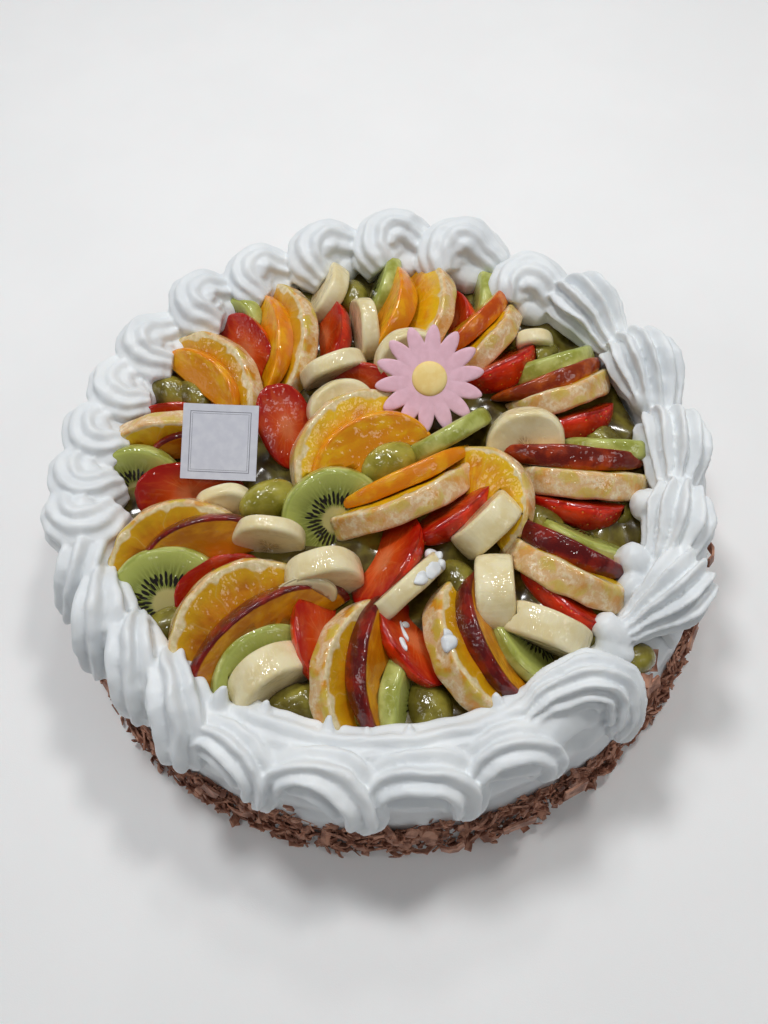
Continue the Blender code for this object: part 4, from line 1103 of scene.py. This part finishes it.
def build_flakes():
    """Shavings packed over the lower side, thinner towards the ragged top of the band."""
    rng = random.Random(SEED)
    bm = bmesh.new()
    for _ in range(SHAVINGS):
        azimuth = rng.uniform(0, 360)
        edge = FLAKE_BAND_HEIGHT * (0.92 + 0.28 * noise.noise(polar(9, azimuth, 0)))
        height = edge * rng.random() ** 0.85
        length = rng.uniform(2.5, 7.0) * MM
        width = rng.uniform(1.2, 3.6) * MM
        reach = side_radius(height) + rng.uniform(-1.4, 1.0 + 2.4 * (1 - height / edge)) * MM
        place = side_place(rng, azimuth, reach, max(1.2 * MM, height), 0.45)
        add_shaving(bm, rng, place, length, width, rng.uniform(0.35, 0.7) * MM)
    for _ in range(LONG_SHAVINGS):
        azimuth = rng.uniform(0, 360)
        height = rng.uniform(2, 25) * MM
        reach = side_radius(height) + rng.uniform(0.6, 2.4) * MM
        place = side_place(rng, azimuth, reach, height, 0.3)
        add_shaving(bm, rng, place, rng.uniform(6, 11) * MM, rng.uniform(3, 6) * MM, 0.8 * MM)
    for azimuth, reach, height, length, width, turn, tip in LARGE_FLAKES:
        place = Matrix.Translation(polar(reach * MM, azimuth, height * MM))
        place = place @ Matrix.Rotation(math.radians(azimuth), 4, "Z")
        place = place @ Matrix.Rotation(math.radians(tip), 4, "Y")
        place = place @ Matrix.Rotation(math.radians(turn), 4, "Z")
        add_shaving(bm, rng, place, length * MM, width * MM, 0.9 * MM)
    for vertex in bm.verts:
        vertex.co.z = max(vertex.co.z, 0.0)
    flakes = add_object("chocolate_flakes", bm, LOOKS["chocolate"])
    flakes.data.set_sharp_from_angle(angle=math.radians(30))
    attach(flakes, "root")


# Jelly between the fruit

def build_jelly():
    """The wavy bed of glaze that the fruit is sunk in; its dark olive-brown colour is partly painted shade in
    the gaps between the fruit.
    """
    bm = bmesh.new()
    rings = []
    steps = 180
    rows = 55
    for row in range(1, rows + 1):
        radius = FRUIT_RADIUS * row / rows
        ring = []
        for i in range(steps):
            point = polar(radius, 360 * i / steps, 0)
            height = JELLY_HEIGHT + noise.noise(point / (15 * MM)) * 4.0 * MM
            ring.append(bm.verts.new((point.x + FRUIT_CENTRE_X, point.y, height)))
        rings.append(ring)
    low = [bm.verts.new((v.co.x, v.co.y, DECK_HEIGHT + 0.2 * MM)) for v in rings[-1]]
    bridge_rings(bm, rings + [low])
    jelly_and_shade = add_object("jelly_bed_and_shade", bm, LOOKS["jelly_and_shade"])
    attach(jelly_and_shade, "root")


# Daisy and card, leaned to the front on the fruit

def decoration_place(centre, turn):
    place = Matrix.Translation(centre) @ Matrix.Rotation(math.radians(DECORATION_TILT), 4, "X")
    return place @ Matrix.Rotation(math.radians(turn), 4, "Z")


def petal_reach(share):
    """How far a petal's edge reaches, as a share of its length, from one notch to the next."""
    across = abs(share - 0.5) * 2
    return 0.66 + 0.34 * max(0.0, 1 - across ** 1.7)


def build_daisy():
    bm = bmesh.new()
    fine = 14
    half = DAISY_THICKNESS / 2
    count = DAISY_PETALS * fine
    layers = {1: [], -1: []}
    for side in (1, -1):
        for share in (0.12, 0.3, 0.45, 0.6, 0.72, 0.82, 0.9, 0.96, 1.0):
            ring = []
            for i in range(count):
                angle = 2 * math.pi * i / count
                within = (i % fine) / fine
                reach = DAISY_RADIUS * petal_reach(within) * share
                crease = 0.12 * MM * math.cos(2 * math.pi * (within - 0.5)) * smooth_step(0.5, 0.9, share)
                rim = 1 - 0.75 * smooth_step(0.93, 1.0, share)
                height = crease + side * half * rim
                ring.append(bm.verts.new((reach * math.cos(angle), reach * math.sin(angle), height)))
            layers[side].append(ring)
    bridge_rings(bm, layers[1] + list(reversed(layers[-1])))
    place = decoration_place(DAISY_CENTRE, DAISY_TURN)
    daisy = add_object("daisy_petals", bm, LOOKS["sugar_pink"], place)
    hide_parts("daisy")
    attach(daisy, "root")

    bm = bmesh.new()
    profile = [(1.0, 0.0), (1.0, 0.6), (0.96, 1.0), (0.85, 1.45), (0.66, 1.8), (0.4, 2.0), (0.15, 2.05)]
    bridge_rings(bm, [
        [bm.verts.new(polar(DAISY_HEART_RADIUS * share, 6 * i, height * MM)) for i in range(60)]
        for share, height in profile
    ])
    place = decoration_place(DAISY_CENTRE, 0)
    heart = add_object("daisy_heart", bm, LOOKS["sugar_yellow"], place)
    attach(heart, "root")


def card_look():
    """Pale card with a plain frame of two rules in dark ink."""
    s = Shader("ruled_card")
    place = s.place()
    x, y, _ = s.axes(place)
    largest = s.math("MAXIMUM", s.size(x), s.size(y))
    line = s.math("LESS_THAN", s.size(s.minus(largest, 12.0)), 0.14)
    inner = s.math("LESS_THAN", s.size(s.minus(largest, 11.2)), 0.07)
    ink = s.math("MAXIMUM", line, inner)
    mottled = s.noise(place, 0.25, 3.0)
    paper = s.mix(s.range(mottled, 0.35, 0.7), (0.60, 0.61, 0.68), (0.66, 0.67, 0.73))
    colour = s.mix(s.times(ink, 0.8), paper, (0.06, 0.06, 0.08))
    normal = s.bump(s.noise(place, 3.0, 2.0), 0.08, 0.1 * MM)
    return s.finish(colour, 0.5, normal, specular=0.4)


def build_card():
    bm = bmesh.new()
    steps = 12
    half = CARD_THICKNESS / 2
    grids = {}
    for side in (1, -1):
        for i in range(steps + 1):
            for j in range(steps + 1):
                x = CARD_SIDE * (i / steps - 0.5)
                y = CARD_SIDE * (j / steps - 0.5)
                curl = 0.5 * MM * (x / CARD_SIDE * 2) ** 2 - 0.25 * MM
                grids[side, i, j] = bm.verts.new((x, y, curl + side * half * 0.6))
    for side in (1, -1):
        for i in range(steps):
            for j in range(steps):
                spots = ((i, j), (i + 1, j), (i + 1, j + 1), (i, j + 1))
                corners = [grids[(side, *spot)] for spot in spots]
                bm.faces.new(corners if side > 0 else corners[::-1])
    for i in range(steps):
        front, right = ((i, 0), (i + 1, 0)), ((steps, i), (steps, i + 1))
        back, left = ((i + 1, steps), (i, steps)), ((0, i + 1), (0, i))
        for a, b in (front, right, back, left):
            bm.faces.new((grids[(-1, *a)], grids[(-1, *b)], grids[(1, *b)], grids[(1, *a)]))
    place = decoration_place(CARD_CENTRE, CARD_TURN)
    card = add_object("small_card", bm, card_look(), place)
    card.data.set_sharp_from_angle(angle=math.radians(40))
    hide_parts("card")
    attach(card, "root")


# Stage

def build_stage():
    bm = bmesh.new()
    bmesh.ops.create_grid(bm, x_segments=1, y_segments=1, size=3.0)
    pale = sugar_look("pale_floor", (0.92, 0.92, 0.92), (0.94, 0.94, 0.94), 0.01)
    floor = add_object("floor", bm, pale)
    floor.location.z = -0.5 * MM

    back = (CAMERA_PLACE - CAMERA_TARGET).normalized()
    right = Vector((0, 0, 1)).cross(back).normalized()
    level = Matrix((right, back.cross(right), back)).transposed().to_4x4()
    roll = Matrix.Rotation(math.radians(CAMERA_ROLL), 4, "Z")
    data = bpy.data.cameras.new("camera")
    data.sensor_width = 36
    data.lens = FOCAL_SHARE * data.sensor_width
    data.clip_start = 0.01
    camera = bpy.data.objects.new("camera", data)
    bpy.context.scene.collection.objects.link(camera)
    camera.matrix_world = Matrix.Translation(CAMERA_PLACE) @ level @ roll
    bpy.context.scene.camera = camera

    # name, place, side, power, colour
    lights = [
        ("ceiling", (-0.30, 0.50, 1.25), 0.22, 6.6, (0.98, 0.99, 1.0)),
        ("window", (-1.1, -0.1, 0.9), 0.4, 1.6, (0.97, 0.98, 1.0)),
        ("lamp_right", (0.35, 0.30, 0.95), 0.12, 2.5, (1.0, 0.99, 0.97)),
        ("lamp_front", (-0.12, -0.30, 1.15), 0.10, 0.7, (1.0, 0.99, 0.97)),
        ("lamp_back", (0.12, 0.58, 0.85), 0.10, 0.9, (1.0, 1.0, 1.0)),
        ("fill", (0.9, -0.5, 1.0), 0.4, 1.6, (1.0, 1.0, 1.0)),
    ]
    for name, place, size, power, colour in lights:
        data = bpy.data.lights.new(name, "AREA")
        data.size = size
        data.energy = power
        data.color = colour
        light = bpy.data.objects.new(name, data)
        bpy.context.scene.collection.objects.link(light)
        light.location = place
        aim = Vector((0, 0, 0.03)) - Vector(place)
        light.rotation_euler = aim.to_track_quat("-Z", "Y").to_euler()

    world = bpy.data.worlds.new("studio")
    world.use_nodes = True
    sky = world.node_tree.nodes["Background"].inputs
    sky["Color"].default_value = (0.95, 0.97, 1.0, 1.0)
    sky["Strength"].default_value = 0.13
    bpy.context.scene.world = world
    bpy.context.scene.view_settings.view_transform = "Standard"


build_stage()
build_body()
build_flakes()
build_border()
build_jelly()
build_fruit()
build_bits()
build_flecks()
build_daisy()
build_card()
